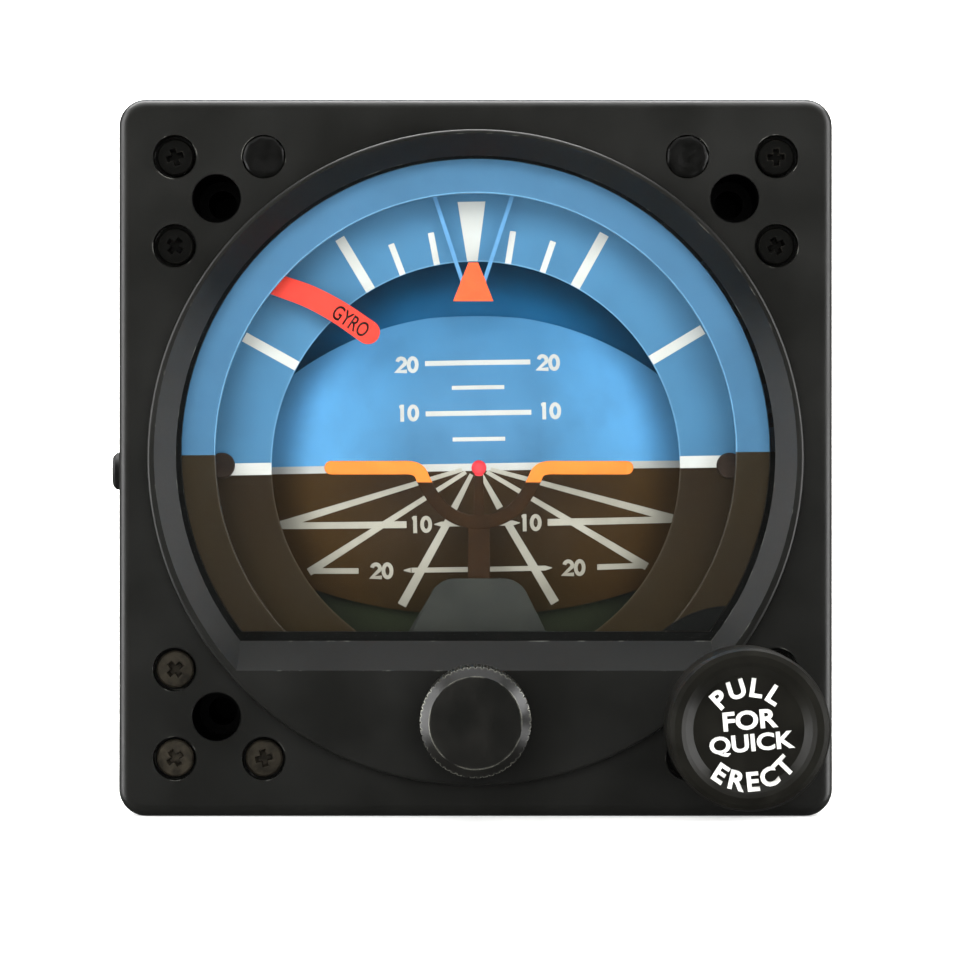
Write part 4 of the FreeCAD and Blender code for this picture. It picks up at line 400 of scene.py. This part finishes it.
NODE_FINISH = {
    "front_bezel": bezel_enamel, "bezel_screws": screw_steel(), "screw_seals": sealing_wax,
    "window_glass": clear_glass(), "glass_gasket": nitrile_rubber, "dial_mask": mask_paint,
    "mask_spacer": moulding_compound, "cage_housing_plate": nitrile_rubber,
    "bank_pointer": pointer_paint(), "case_body": case_enamel, "side_plug": nitrile_rubber,
    "rear_cover": case_enamel, "rear_cover_screws": ground_steel, "connector_shell": turned_aluminium,
    "connector_insert": moulding_compound, "connector_pins": machined_brass,
    "bearing_housing": turned_aluminium, "board_pillars": ground_steel,
    "inverter_board": varnished_board, "brush_block": moulding_compound,
    "roll_bearing_outer_races": ground_steel, "roll_bearing_balls": ground_steel,
    "symbol_guide": carrier_enamel, "adjust_bushing": machined_brass, "pull_bushing": turned_aluminium,
    "pull_spring": ground_steel, "flag_coil": varnished_copper, "roll_card": card_paint,
    "roll_card_screws": browned_steel, "roll_gimbal": ring_paint, "roll_shaft": ground_steel,
    "shaft_nut": ground_steel, "cage_cam": turned_aluminium, "slip_rings": machined_brass,
    "roll_bearing_inner_races": ground_steel, "pitch_bearing_outer_races": ground_steel,
    "pitch_drum": drum_paint, "inner_gimbal": turned_aluminium,
    "pitch_bearing_inner_races": ground_steel, "rotor_case_top": turned_aluminium,
    "rotor_case_bottom": turned_aluminium, "motor_stator": varnished_copper,
    "rotor_bearing_outer_races": ground_steel, "erector_cup": turned_aluminium,
    "erector_lid": turned_aluminium, "erector_balls": ground_steel, "gyro_rotor": machined_brass,
    "rotor_shaft": ground_steel, "rotor_bearing_inner_races": ground_steel,
    "aeroplane_symbol": symbol_paint(), "symbol_carrier": carrier_enamel, "adjust_knob": anodised_knob,
    "adjust_shaft": ground_steel, "adjust_gear": machined_brass, "pull_knob": knob_plastic,
    "pull_rod": ground_steel, "cage_yoke": turned_aluminium, "flag_arm": flag_paint,
    "flag_pin": ground_steel,
}
for node, finish in NODE_FINISH.items():
    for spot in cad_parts[node].material_slots:
        spot.material = finish


# ---------------------------------------------------------------- dial printing

def deselect():
    """Nothing chosen, so that the next operator acts on its own piece alone."""
    bpy.ops.object.select_all(action="DESELECT")


def on_card(x, z):
    """Depth of the roll card's face, mm."""
    return CARD_FACE


def on_drum(x, z):
    """Depth of the drum's rounded face, mm."""
    reach = DRUM_RADIUS ** 2 - x ** 2 - (z - ROLL_CENTRE.y) ** 2
    return DRUM_DEPTH - math.sqrt(max(reach, 0.0))


def tilted(point):
    """A point given level about the roll axis, in its place on the tilted gimbals."""
    return Matrix.Rotation(math.radians(CARD_TILT), 2) @ Vector(point) + ROLL_CENTRE


def stroke(start, end, widths, surface, steps=10):
    """One printed line between two points, (x, z) in mm, its width going from the first to the second."""
    deselect()
    bpy.ops.mesh.primitive_grid_add(x_subdivisions=steps, y_subdivisions=2, size=1.0)
    line = bpy.context.object
    first, last = Vector(start), Vector(end)
    way = last - first
    side = Vector((-way.y, way.x)).normalized()
    for point in line.data.vertices:
        share = point.co.x + 0.5
        width = widths[0] + (widths[1] - widths[0]) * share
        spot = first + way * share + side * width * point.co.y
        point.co = Vector((spot.x, surface(spot.x, spot.y) - PRINT_THICK * INK_LIFT, spot.y)) * MM
    return line


def lettering(words, height, centre, surface, turn=0.0, bold=0.035, width=1.0):
    """Printed letters of this cap height in mm, middle at centre, turned anticlockwise by turn degrees."""
    deselect()
    bpy.ops.object.text_add()
    text = bpy.context.object
    text.data.body = words
    text.data.align_x = "CENTER"
    text.data.align_y = "CENTER"
    text.data.offset = bold
    text.data.resolution_u = 4
    bpy.ops.object.convert(target="MESH")
    text = bpy.context.object
    reach = [point.co.y for point in text.data.vertices]
    middle = (max(reach) + min(reach)) / 2
    size = height / (max(reach) - min(reach))
    spin = Matrix.Rotation(math.radians(turn), 2)
    for point in text.data.vertices:
        spot = spin @ (Vector((point.co.x * width, point.co.y - middle)) * size) + Vector(centre)
        point.co = Vector((spot.x, surface(spot.x, spot.y) - PRINT_THICK * INK_LIFT, spot.y)) * MM
    return text


def joined(name, pieces):
    """The pieces as one, under a name."""
    deselect()
    for piece in pieces:
        piece.select_set(True)
    bpy.context.view_layer.objects.active = pieces[0]
    bpy.ops.object.join()
    whole = bpy.context.object
    whole.name = name
    whole.data.name = name
    return whole


def dressed(whole, body, finish):
    """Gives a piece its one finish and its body."""
    whole.data.materials.clear()
    whole.data.materials.append(finish)
    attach(whole, body)


def printed(name, pieces, body, ink):
    """Joins printed lines and letters into one thin raised piece that rides on a body."""
    whole = joined(name, pieces)
    thicken = whole.modifiers.new("ink", "SOLIDIFY")
    thicken.thickness = PRINT_THICK * MM
    thicken.offset = 0.0
    bpy.ops.object.modifier_apply(modifier=thicken.name)
    bpy.ops.object.mode_set(mode="EDIT")
    bpy.ops.mesh.select_all(action="SELECT")
    bpy.ops.mesh.normals_make_consistent(inside=False)
    bpy.ops.object.mode_set(mode="OBJECT")
    dressed(whole, body, ink)


SCALE_START = 25.55                     # the bank scale starts at this radius, mm
BANK_MARKS = (                          # degrees, outer radius in mm, width in mm
    (10, 29.65, 0.76), (20, 29.65, 0.76), (30, 33.1, 1.25), (60, 33.1, 1.25), (90, 30.9, 1.5))


def print_card():
    """Bank scale: wedge at the top, thin ticks at 10 and 20, long bars at 30 and 60, and the level bars."""
    lines = [stroke(tilted((0, SCALE_START)), tilted((0, 33.0)), (1.3, 3.5), on_card)]
    for angle, outer, width in BANK_MARKS:
        for side in (1, -1):
            ray = Vector((math.sin(math.radians(angle)) * side, math.cos(math.radians(angle))))
            lines.append(stroke(tilted(ray * SCALE_START), tilted(ray * outer), (width, width), on_card))
    printed("bank_scale", lines, "roll_gimbal", white_ink)


def ribbon(points, widths, surface, closed=False):
    """A flat band through points in mm, its width going from the first to the second, its corners mitred."""
    path = [Vector(point) for point in points]
    deselect()
    bpy.ops.mesh.primitive_grid_add(x_subdivisions=len(path) - 1, y_subdivisions=2, size=1.0)
    band = bpy.context.object
    last = len(path) - 1
    for corner in band.data.vertices:
        index = round((corner.co.x + 0.5) * last)
        before = path[index - 1] if index else path[last - 1] if closed else 2 * path[0] - path[1]
        after = path[index + 1] if index < last else path[1] if closed else 2 * path[last] - path[last - 1]
        come, go = (path[index] - before).normalized(), (after - path[index]).normalized()
        way = (come + go).normalized()
        side = Vector((-way.y, way.x)) / max(way.dot(come), 0.6)
        width = widths[0] + (widths[1] - widths[0]) * index / last
        spot = path[index] + side * width * corner.co.y
        corner.co = Vector((spot.x, surface(spot.x, spot.y) - PRINT_THICK * INK_LIFT, spot.y)) * MM
    if closed:
        bpy.ops.object.mode_set(mode="EDIT")
        bpy.ops.mesh.select_all(action="SELECT")
        bpy.ops.mesh.remove_doubles(threshold=0.01 * MM)
        bpy.ops.object.mode_set(mode="OBJECT")
    return band


def figure(digit, height, centre, turn, surface, bold):
    """One dial figure, 0, 1 or 2, in plain geometric strokes of this height in mm."""
    half, wide = (height - bold) / 2, height * 0.24
    if digit == "0":
        shape = [(wide * math.cos(math.radians(step)), half * math.sin(math.radians(step)))
                 for step in range(0, 361, 20)]
    elif digit == "1":
        shape = [(0.0, -height / 2), (0.0, height / 2)]
    else:
        bowl, rise = height * 0.235, half - height * 0.235
        shape = [(bowl * math.cos(math.radians(step)), rise + bowl * math.sin(math.radians(step)))
                 for step in range(170, -46, -18)]
        shape += [(-bowl - 0.02 * height, -half), (bowl + 0.1 * height, -half)]
    spin = Matrix.Rotation(math.radians(turn), 2)

    def put(points):
        """The points turned and set at the figure's place."""
        return [spin @ Vector(point) + Vector(centre) for point in points]

    pieces = [ribbon(put(shape), (bold, bold), surface, digit == "0")]
    if digit == "1":
        flag = [(-height * 0.17, height * 0.36), (0.0, height / 2 - bold / 2)]
        pieces.append(ribbon(put(flag), (bold * 0.7, bold * 0.8), surface))
    return pieces


def number(words, height, centre, surface, bold=0.47):
    """A two-figure dial number, its figures set side by side on the card's tilt."""
    pieces = []
    for place, digit in enumerate(words):
        offset = (-0.34 if place == 0 else 0.34) * height
        if digit == "1":
            offset += 0.03 * height
        middle = tilted((centre[0] + offset, centre[1]))
        pieces += figure(digit, height, middle, CARD_TILT, surface, bold)
    return pieces


FIGURE_TALL = 2.15                      # height of the dial figures, mm
GROUND_10, GROUND_20 = -7.3, -13.1      # heights of the two level ground lines from the roll axis, mm
FINE = 0.62                             # width of their middle parts, mm


def print_drum():
    """Pitch scale: lines and figures on the sky, and on the ground lines that run together at the horizon."""
    middle = 0.45

    def line(start, end, widths, steps=10):
        """A line on the drum, x measured from the scale's own middle."""
        first, last = tilted((middle + start[0], start[1])), tilted((middle + end[0], end[1]))
        return stroke(first, last, widths, on_drum, steps)

    ink = [line((-28.8, -0.2), (28.2, -0.2), (0.92, 0.92), 40)]
    for angle, half, width in ((5, 3.3, 0.5), (10, 6.65, 0.62), (15, 3.3, 0.5), (20, 6.65, 0.62)):
        height = DRUM_RADIUS * math.sin(math.radians(angle))
        ink.append(line((-half, height), (half, height), (width, width)))
    for words, height in (("20", 12.9), ("10", 6.75)):
        for side in (-8.95, 8.95):
            ink += number(words, FIGURE_TALL, (middle + side, height), on_drum)
    middle = 0.05
    pale = [line((-4.5, GROUND_10), (4.5, GROUND_10), (FINE, FINE)),
            line((-8.4, GROUND_20), (8.6, GROUND_20), (FINE, FINE), 16)]
    for side in (-1, 1):
        pale.append(line((side * 1.8, -0.5), (side * 25.3, -7.2), (0.5, 1.02), 24))
        pale.append(line((side * 1.3, -0.8), (side * 21.7, -13.3), (0.5, 1.02), 24))
        pale.append(line((side * 0.6, -1.1), (side * 2.9, -5.4), (0.5, 0.85)))
        pale.append(line((side * 3.6, -6.9), (side * 9.75, -17.6), (0.9, 1.15), 16))
        pale.append(line((side * 8.9, GROUND_10), (side * 25.0, GROUND_10), (0.85, 0.85), 20))
        pale.append(line((side * 4.5, GROUND_10), (side * 5.4, GROUND_10), (FINE, 0.06)))
        pale += number("10", FIGURE_TALL, (middle + side * 6.9 - 0.25, GROUND_10), on_drum)
        pale.append(line((side * 15.2, -13.15), (side * 21.2, -13.15), (0.7, 0.7)))
        pale.append(line((side * 8.5, GROUND_20), (side * 9.4, GROUND_20), (FINE, 0.06)))
        pale += number("20", FIGURE_TALL, (middle + side * 12.2, -13.15), on_drum)
    printed("pitch_scale_sky", ink, "pitch_gimbal", white_ink)
    printed("pitch_scale_ground", pale, "pitch_gimbal", dust_ink)


print_card()
print_drum()


def smooth_path(points, steps):
    """More points on a smooth curve through the given ones."""
    path = [Vector(point) for point in points]
    ends = [2 * path[0] - path[1]] + path + [2 * path[-1] - path[-2]]
    curve = []
    for first, second, third, fourth in zip(ends, ends[1:], ends[2:], ends[3:]):
        for step in range(steps):
            share = step / steps
            curve.append(second + share * 0.5 * (third - first)
                         + share ** 2 * (first - 2.5 * second + 2 * third - 0.5 * fourth)
                         + share ** 3 * (1.5 * second - 1.5 * third + 0.5 * fourth - 0.5 * first))
    return curve + [path[-1]]


def flat_disc(centre, radius, depth):
    """A round flat plate facing forward, middle at x and z in mm."""
    deselect()
    bpy.ops.mesh.primitive_circle_add(vertices=40, radius=radius * MM, fill_type="NGON")
    disc = bpy.context.object
    bpy.ops.object.mode_set(mode="EDIT")
    bpy.ops.mesh.inset(thickness=radius * 0.4 * MM)
    bpy.ops.object.mode_set(mode="OBJECT")
    for point in disc.data.vertices:
        point.co = Vector((point.co.x + centre[0] * MM, depth * MM, point.co.y + centre[1] * MM))
    return disc


def bevelled(piece, name, width, segments, angle):
    """Bevels the edges where faces turn by more than this many degrees, to a width in mm."""
    edges = piece.modifiers.new(name, "BEVEL")
    edges.width, edges.segments = width * MM, segments
    edges.limit_method, edges.angle_limit = "ANGLE", math.radians(angle)
    bpy.ops.object.modifier_apply(modifier=edges.name)


def sheet_part(name, pieces, thick, body, finish, soften, stands_for=None):
    """Joins flat plates facing forward, gives them their thickness backwards and soft edges."""
    whole = joined(name, pieces)
    bpy.ops.object.mode_set(mode="EDIT")
    bpy.ops.mesh.select_all(action="SELECT")
    bpy.ops.mesh.remove_doubles(threshold=0.005 * MM)
    bpy.ops.mesh.extrude_region_move(TRANSFORM_OT_translate={"value": (0.0, thick * MM, 0.0)})
    bpy.ops.mesh.select_all(action="SELECT")
    bpy.ops.mesh.normals_make_consistent(inside=False)
    bpy.ops.object.mode_set(mode="OBJECT")
    bevelled(whole, "soft edges", soften, 3, 50)
    bpy.ops.object.shade_smooth_by_angle(angle=math.radians(40))
    dressed(whole, body, finish)
    if stands_for:
        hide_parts(stands_for)


def make_flag():
    """Warning flag: a thin blade that curves down and widens to a round end, with GYRO printed near it."""
    low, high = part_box("flag_arm")
    front, thick = low[1] / MM, (high[1] - low[1]) / MM
    middle = smooth_path([FLAG_PIVOT, (-24.0, 21.23), (-20.5, 19.95), (-16.87, 18.0), (-13.35, 15.6)], 6)
    blade = ribbon(middle, (2.6, 3.0), lambda x, z: front + PRINT_THICK * INK_LIFT)
    end = flat_disc(middle[-1], 1.5, front + 0.03)
    hub = flat_disc(FLAG_PIVOT, 1.8, front + 0.02)
    sheet_part("warning_flag", [blade, end, hub], thick - 0.04, "flag", flag_paint,
               0.05, "flag_arm")
    words = lettering("GYRO", 1.9, (-15.45, 16.95), lambda x, z: front,
                      turn=-34.0, bold=0.008, width=0.68)
    printed("flag_word", [words], "flag", black_ink)


make_flag()


def make_symbol():
    """Aeroplane symbol: two wings bent round into an arc under the centre bead, on a post and stem."""
    low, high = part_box("aeroplane_symbol")
    front, thick = low[1] / MM, (high[1] - low[1]) / MM
    centre = Vector(((low[0] + high[0]) / 2 / MM, 0.0))
    centre.y = high[2] / MM - 0.9
    reach = (high[0] - low[0]) / 2 / MM - 0.85
    arc = 6.75                          # radius of the arc under the bead
    half = [(8.4, -0.02), (7.35, -0.5), (6.8, -1.6)]
    half += [(arc * math.cos(math.radians(down)), -arc * math.sin(math.radians(down)))
             for down in (28, 46, 62, 76)]
    right = [(reach, 0.0), (14.0, 0.0), (10.6, 0.0)] + half
    loop = smooth_path(right + [(0.0, -arc)] + [(-x, z) for x, z in reversed(right)], 5)

    def flat(x, z):
        """Depth of the symbol's front, mm."""
        return front + PRINT_THICK * INK_LIFT

    bent = ribbon([point + centre for point in loop], (1.68, 1.68), flat)
    tips = [flat_disc(centre + Vector((side * reach, 0.0)), 0.84, front + 0.01) for side in (-1, 1)]
    post = ribbon([centre + Vector((0.0, -0.2)), centre + Vector((0.0, -6.4))], (1.0, 1.35),
                  lambda x, z: front + 0.04)
    stem = ribbon([centre + Vector((0.0, -6.6)), Vector((centre.x, low[2] / MM))], (2.7, 2.8),
                  lambda x, z: front + 0.05)
    enamel = NODE_FINISH["aeroplane_symbol"]
    sheet_part("painted_symbol", [bent] + tips + [post, stem], thick - 0.06, "symbol", enamel,
               0.1, "aeroplane_symbol")
    deselect()
    bpy.ops.mesh.primitive_uv_sphere_add(segments=32, ring_count=16, radius=0.93 * MM)
    bead = bpy.context.object
    bead.name = "centre_bead"
    bead.data.name = "centre_bead"
    bpy.ops.object.mode_set(mode="EDIT")
    bpy.ops.transform.resize(value=(1.0, 0.55, 1.0))
    bpy.ops.object.mode_set(mode="OBJECT")
    bead.data.transform(Matrix.Translation(Vector((centre.x, front + 0.12, centre.y)) * MM))
    bpy.ops.object.shade_smooth()
    dressed(bead, "symbol", enamel)


make_symbol()


def make_shield():
    """Grey shield on the front of the symbol's carrier: a plate with sloping sides and round top corners."""
    low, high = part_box("aeroplane_symbol")
    front = low[1] / MM - 0.5
    centre = (low[0] + high[0]) / 2 / MM
    deselect()
    bpy.ops.mesh.primitive_plane_add(size=1.0)
    plate = bpy.context.object
    for corner in plate.data.vertices:
        wide, height = (5.0, -14.85) if corner.co.y > 0 else (8.75, -22.4)
        corner.co = Vector((centre + math.copysign(wide, corner.co.x), front, height)) * MM
    bpy.ops.object.mode_set(mode="EDIT")
    bpy.ops.mesh.select_mode(type="VERT")
    bpy.ops.mesh.select_all(action="DESELECT")
    bpy.ops.object.mode_set(mode="OBJECT")
    for corner in plate.data.vertices:
        corner.select = corner.co.z > -15 * MM
    bpy.ops.object.mode_set(mode="EDIT")
    bpy.ops.mesh.bevel(offset=1.9 * MM, segments=8, affect="VERTICES")
    bpy.ops.object.mode_set(mode="OBJECT")
    sheet_part("carrier_shield", [plate], 0.45, "symbol", carrier_enamel, 0.08)


make_shield()


def knob_words():
    """Plain operating words in the dish of the pull knob: two lines across, two round the rim."""
    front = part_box("pull_knob")[0][1] / MM

    def face(x, z):
        """Depth of the knob's dish: nearly flat in the middle, rising to the rim outside that."""
        reach = (Vector((x, z)) - KNOB_CENTRE).length
        flat, middle, edge = 6.4, 1.3, 1.04
        return front + (middle - (middle - edge) * reach / flat if reach < flat
                        else edge - 0.794 * (reach - flat))

    lean = 5.0
    level = Matrix.Rotation(math.radians(lean), 2)
    words = [lettering("FOR", 2.25, KNOB_CENTRE + level @ Vector((0.1, 1.12)), face, lean, 0.03, 1.12),
             lettering("QUICK", 2.4, KNOB_CENTRE + level @ Vector((0.1, -1.68)), face, lean, 0.03, 1.14)]
    for letter, angle in zip("PULL", (-43, -17, 8, 33)):
        ray = Matrix.Rotation(math.radians(-angle), 2) @ Vector((0, 5.15))
        spot = KNOB_CENTRE + Vector((0.1, -0.3)) + ray
        words.append(lettering(letter, 2.2, spot, face, -angle, 0.035, 1.05))
    for letter, angle in zip("ERECT", (-34, -14, 5, 25, 46)):
        ray = Matrix.Rotation(math.radians(angle), 2) @ Vector((0, -5.75))
        spot = KNOB_CENTRE + Vector((-0.1, -0.2)) + ray
        words.append(lettering(letter, 2.2, spot, face, angle, 0.035, 1.05))
    printed("knob_words", words, "pull_control", white_ink)


knob_words()


# ---------------------------------------------------------------- fasteners

SCREW_FAR, SCREW_NEAR = 36.5, 25.7      # the two reaches of the case screws from the centre lines, mm
HEAD_RADIUS, HEAD_TALL = 2.25, 1.6
SHANK_RADIUS, SHANK_SUNK = 1.4, 0.3     # the shank starts a little way inside the head
RECESS_SPAN, RECESS_WIDE, RECESS_DEEP = 2.6, 0.92, 1.1
RECESS_TAPER = 0.6                      # width of the recess cutter at its foot, as a share of its top
SEAL_RADIUS = 2.75


def pick_top(piece, high):
    """Edit mode with only the faces that look up at this height chosen."""
    bpy.ops.object.mode_set(mode="EDIT")
    bpy.ops.mesh.select_mode(type="FACE")
    bpy.ops.mesh.select_all(action="DESELECT")
    bpy.ops.object.mode_set(mode="OBJECT")
    for face in piece.data.polygons:
        face.select = face.normal.z > 0.99 and abs(face.center.z - high * MM) < 0.01 * MM
    bpy.ops.object.mode_set(mode="EDIT")


def make_screw(long):
    """One machine screw, head up on the origin: chamfered, slightly domed head, cross recess, plain shank."""
    deselect()
    bpy.ops.mesh.primitive_cylinder_add(vertices=40, radius=HEAD_RADIUS * MM, depth=HEAD_TALL * MM,
                                        location=(0, 0, -HEAD_TALL * MM / 2))
    screw = bpy.context.object
    bpy.ops.object.transform_apply(location=True)
    pick_top(screw, 0.0)
    for inset, rise in ((0.22, 0.0), (0.6, 0.1), (0.6, 0.05)):
        bpy.ops.mesh.inset(thickness=inset * MM)
        bpy.ops.transform.translate(value=(0, 0, rise * MM))
    bpy.ops.object.mode_set(mode="OBJECT")
    for point in screw.data.vertices:
        flat = math.hypot(point.co.x, point.co.y)
        if flat > (HEAD_RADIUS - 0.01) * MM and point.co.z > -0.01 * MM:
            point.co.z = -0.22 * MM
    deselect()
    for wide, high in ((RECESS_SPAN, RECESS_WIDE), (RECESS_WIDE, RECESS_SPAN)):
        bpy.ops.mesh.primitive_cube_add(size=1.0)
        cutter = bpy.context.object
        bpy.ops.object.mode_set(mode="EDIT")
        bpy.ops.transform.resize(value=(wide * MM, high * MM, 2 * RECESS_DEEP * MM))
        bpy.ops.object.mode_set(mode="OBJECT")
        for point in cutter.data.vertices:
            if point.co.z < 0:
                point.co.x *= RECESS_TAPER
                point.co.y *= RECESS_TAPER
        recess = screw.modifiers.new("recess", "BOOLEAN")
        recess.operation, recess.solver, recess.object = "DIFFERENCE", "EXACT", cutter
        deselect()
        screw.select_set(True)
        bpy.context.view_layer.objects.active = screw
        bpy.ops.object.modifier_apply(modifier=recess.name)
        bpy.data.objects.remove(cutter)
        deselect()
    screw.select_set(True)
    bpy.context.view_layer.objects.active = screw
    bevelled(screw, "broken corners", 0.07, 2, 38)
    bpy.ops.mesh.primitive_cylinder_add(
        vertices=20, radius=SHANK_RADIUS * MM, depth=(long - HEAD_TALL + SHANK_SUNK) * MM,
        location=(0, 0, -(long + HEAD_TALL - SHANK_SUNK) * MM / 2))
    screw.select_set(True)
    bpy.context.view_layer.objects.active = screw
    bpy.ops.object.join()
    bpy.ops.object.transform_apply(location=True)
    bpy.ops.object.shade_smooth_by_angle(angle=math.radians(35))
    return screw


def set_copies(name, model, spots, finish, stands_for):
    """Copies a model head forward to each (x, front, z, turn) in mm and degrees, as one piece on the case."""
    copies = []
    for x, front, z, turn in spots:
        copy = model.copy()
        copy.data = model.data.copy()
        bpy.context.scene.collection.objects.link(copy)
        copy.data.transform(Matrix.Translation(Vector((x, front, z)) * MM)
                            @ Matrix.Rotation(math.radians(90), 4, "X")
                            @ Matrix.Rotation(math.radians(turn), 4, "Z"))
        copies.append(copy)
    bpy.data.objects.remove(model)
    whole = joined(name, copies)
    dressed(whole, "case", finish)
    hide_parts(stands_for)


def fit_case_screws():
    """Twelve screws, three to a corner, each stopped at its own turn."""
    low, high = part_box("bezel_screws")
    sunk = 0.15                         # the heads sit this far back, which is the rise of their domes
    front = low[1] / MM + sunk
    turns = iter((18, 51, 7, 33, 40, 12, 2, 25, 64, 31, 9, 58))
    spots = []
    for across in (-1, 1):
        for up in (1, -1):
            for far_x, far_z in ((SCREW_FAR, SCREW_FAR), (SCREW_FAR, SCREW_NEAR), (SCREW_NEAR, SCREW_FAR)):
                spots.append((across * far_x, front, up * far_z, next(turns)))
    screw = make_screw((high[1] - low[1]) / MM - sunk)
    set_copies("case_screws", screw, spots, NODE_FINISH["bezel_screws"], "bezel_screws")


fit_case_screws()


def press_seals():
    """Sealing compound pressed over two screw heads: lumpy round caps with a dent in each."""
    low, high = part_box("screw_seals")
    deep = (high[1] - low[1]) / MM
    deselect()
    bpy.ops.mesh.primitive_cylinder_add(vertices=9, radius=SEAL_RADIUS * MM, depth=deep * MM,
                                        location=(0, 0, -deep * MM / 2))
    lump = bpy.context.object
    bpy.ops.object.transform_apply(location=True)
    pick_top(lump, 0.0)
    for inset, rise in ((0.5, 0.0), (0.8, -0.05), (0.7, -0.12)):
        bpy.ops.mesh.inset(thickness=inset * MM)
        bpy.ops.transform.translate(value=(0, 0, rise * MM))
    bpy.ops.object.mode_set(mode="OBJECT")
    for order, point in enumerate(lump.data.vertices):
        flat = math.hypot(point.co.x, point.co.y)
        if flat > 2.4 * MM and point.co.z > -0.1 * MM:
            point.co.z = -0.3 * MM
        sway = 0.12 * math.sin(order * 2.4) * MM
        point.co.x += sway * (0.4 if point.co.z < -0.5 * MM else 1.0)
        point.co.z -= abs(0.14 * math.sin(order * 1.7 + 0.6)) * MM if point.co.z > -0.5 * MM else 0.0
    bevelled(lump, "pressed facets", 0.3, 1, 12)
    melted = lump.modifiers.new("melted edges", "SUBSURF")
    melted.levels = melted.render_levels = 2
    bpy.ops.object.modifier_apply(modifier=melted.name)
    bpy.ops.object.shade_smooth()
    spots = [(-SCREW_NEAR, low[1] / MM, SCREW_FAR, 12), (SCREW_NEAR, low[1] / MM, SCREW_FAR, 68)]
    set_copies("seal_lumps", lump, spots, sealing_wax, "screw_seals")


press_seals()


# ---------------------------------------------------------------- studio, in metres

# The sweep's front edge, flat run, bend radius, height of its wall and width.
SWEEP_FRONT, SWEEP_FLAT, SWEEP_BEND, SWEEP_WALL, SWEEP_WIDE = -0.4, 0.9, 0.35, 1.6, 5.0
AIR_LIGHT = 0.07                        # how much the white surroundings light the part; they look white


def make_studio():
    """Pale sweep: a floor under the part that curves up into a wall behind it."""
    low = cad_box[0][2]
    deselect()
    bpy.ops.mesh.primitive_grid_add(x_subdivisions=4, y_subdivisions=24, size=1.0)
    sweep = bpy.context.object
    sweep.name = "studio_sweep"
    arc = SWEEP_BEND * math.pi / 2
    back = SWEEP_FRONT + SWEEP_FLAT
    for point in sweep.data.vertices:
        run = (point.co.y + 0.5) * (SWEEP_FLAT + arc + SWEEP_WALL)
        if run < SWEEP_FLAT:
            depth, height = SWEEP_FRONT + run, 0.0
        elif run < SWEEP_FLAT + arc:
            turn = (run - SWEEP_FLAT) / SWEEP_BEND
            depth, height = back + SWEEP_BEND * math.sin(turn), SWEEP_BEND * (1 - math.cos(turn))
        else:
            depth, height = back + SWEEP_BEND, SWEEP_BEND + run - SWEEP_FLAT - arc
        point.co = (point.co.x * SWEEP_WIDE, depth, low + height)
    bpy.ops.object.shade_smooth()
    material, tree, place, shader = start_material("matt white card")
    tone = mix(tree, noise(tree, place, 60.0, 3.0), linear("#fbfbfa"), linear("#f6f6f5"))
    tree.links.new(tone, shader.inputs["Base Color"])
    shader.inputs["Roughness"].default_value = 0.9
    shader.inputs["Emission Color"].default_value = (1.0, 1.0, 1.0, 1.0)
    shader.inputs["Emission Strength"].default_value = 0.35
    sweep.data.materials.append(material)
    sweep.visible_glossy = False


def soft_light(name, place, aim, size, power, mirrored=True):
    """A rectangular soft light that faces a point; one that is not mirrored gives no highlight."""
    lamp = bpy.data.lights.new(name, "AREA")
    lamp.shape = "RECTANGLE"
    lamp.size, lamp.size_y = size
    lamp.energy = power
    holder = bpy.data.objects.new(name, lamp)
    bpy.context.scene.collection.objects.link(holder)
    holder.location = place
    holder.visible_glossy = mirrored
    holder.rotation_euler = (Vector(aim) - Vector(place)).to_track_quat("-Z", "Y").to_euler()


def make_lights():
    """White surroundings, three fills that make no highlights, three strips that do, and the wall's light."""
    world = bpy.data.worlds.new("studio air")
    world.use_nodes = True
    tree = world.node_tree
    seen = add(tree, "ShaderNodeLightPath", {}).outputs["Is Camera Ray"]
    strength = spread(tree, seen, 0.0, 1.0, AIR_LIGHT, 1.0)
    tree.nodes["Background"].inputs["Color"].default_value = (1.0, 1.0, 1.0, 1.0)
    tree.links.new(strength, tree.nodes["Background"].inputs["Strength"])
    bpy.context.scene.world = world
    part = (0.0, 0.0, 0.0)
    soft_light("top fill", (0.0, -0.90, 0.36), part, (0.8, 0.4), 6.2, mirrored=False)
    soft_light("left fill", (-0.28, -0.90, 0.06), part, (0.4, 0.6), 4.7, mirrored=False)
    soft_light("right fill", (0.28, -0.90, 0.03), part, (0.4, 0.6), 3.8, mirrored=False)
    soft_light("left strip", (-0.70, -0.10, 0.10), part, (0.40, 0.8), 6.6)
    soft_light("right strip", (0.70, -0.10, 0.06), part, (0.40, 0.8), 6.6)
    soft_light("top strip", (0.0, -0.10, 0.62), part, (0.9, 0.35), 2.0)
    soft_light("backdrop light", (0.0, 0.25, 0.75), (0.0, 0.9, 0.1), (1.6, 0.4), 40.0)
    bpy.context.scene.view_settings.view_transform = "Standard"


def make_camera():
    """Square on to the flange, a little below its middle, 400 mm away."""
    lens = bpy.data.cameras.new("camera")
    lens.sensor_width = 36.0
    lens.lens = 123.66
    lens.clip_start = 0.01
    camera = bpy.data.objects.new("camera", lens)
    bpy.context.scene.collection.objects.link(camera)
    camera.location = (0.534 * MM, -0.4, -2.717 * MM)
    camera.rotation_euler = (math.radians(90), 0.0, 0.0)
    bpy.context.scene.camera = camera


make_studio()
make_lights()
make_camera()
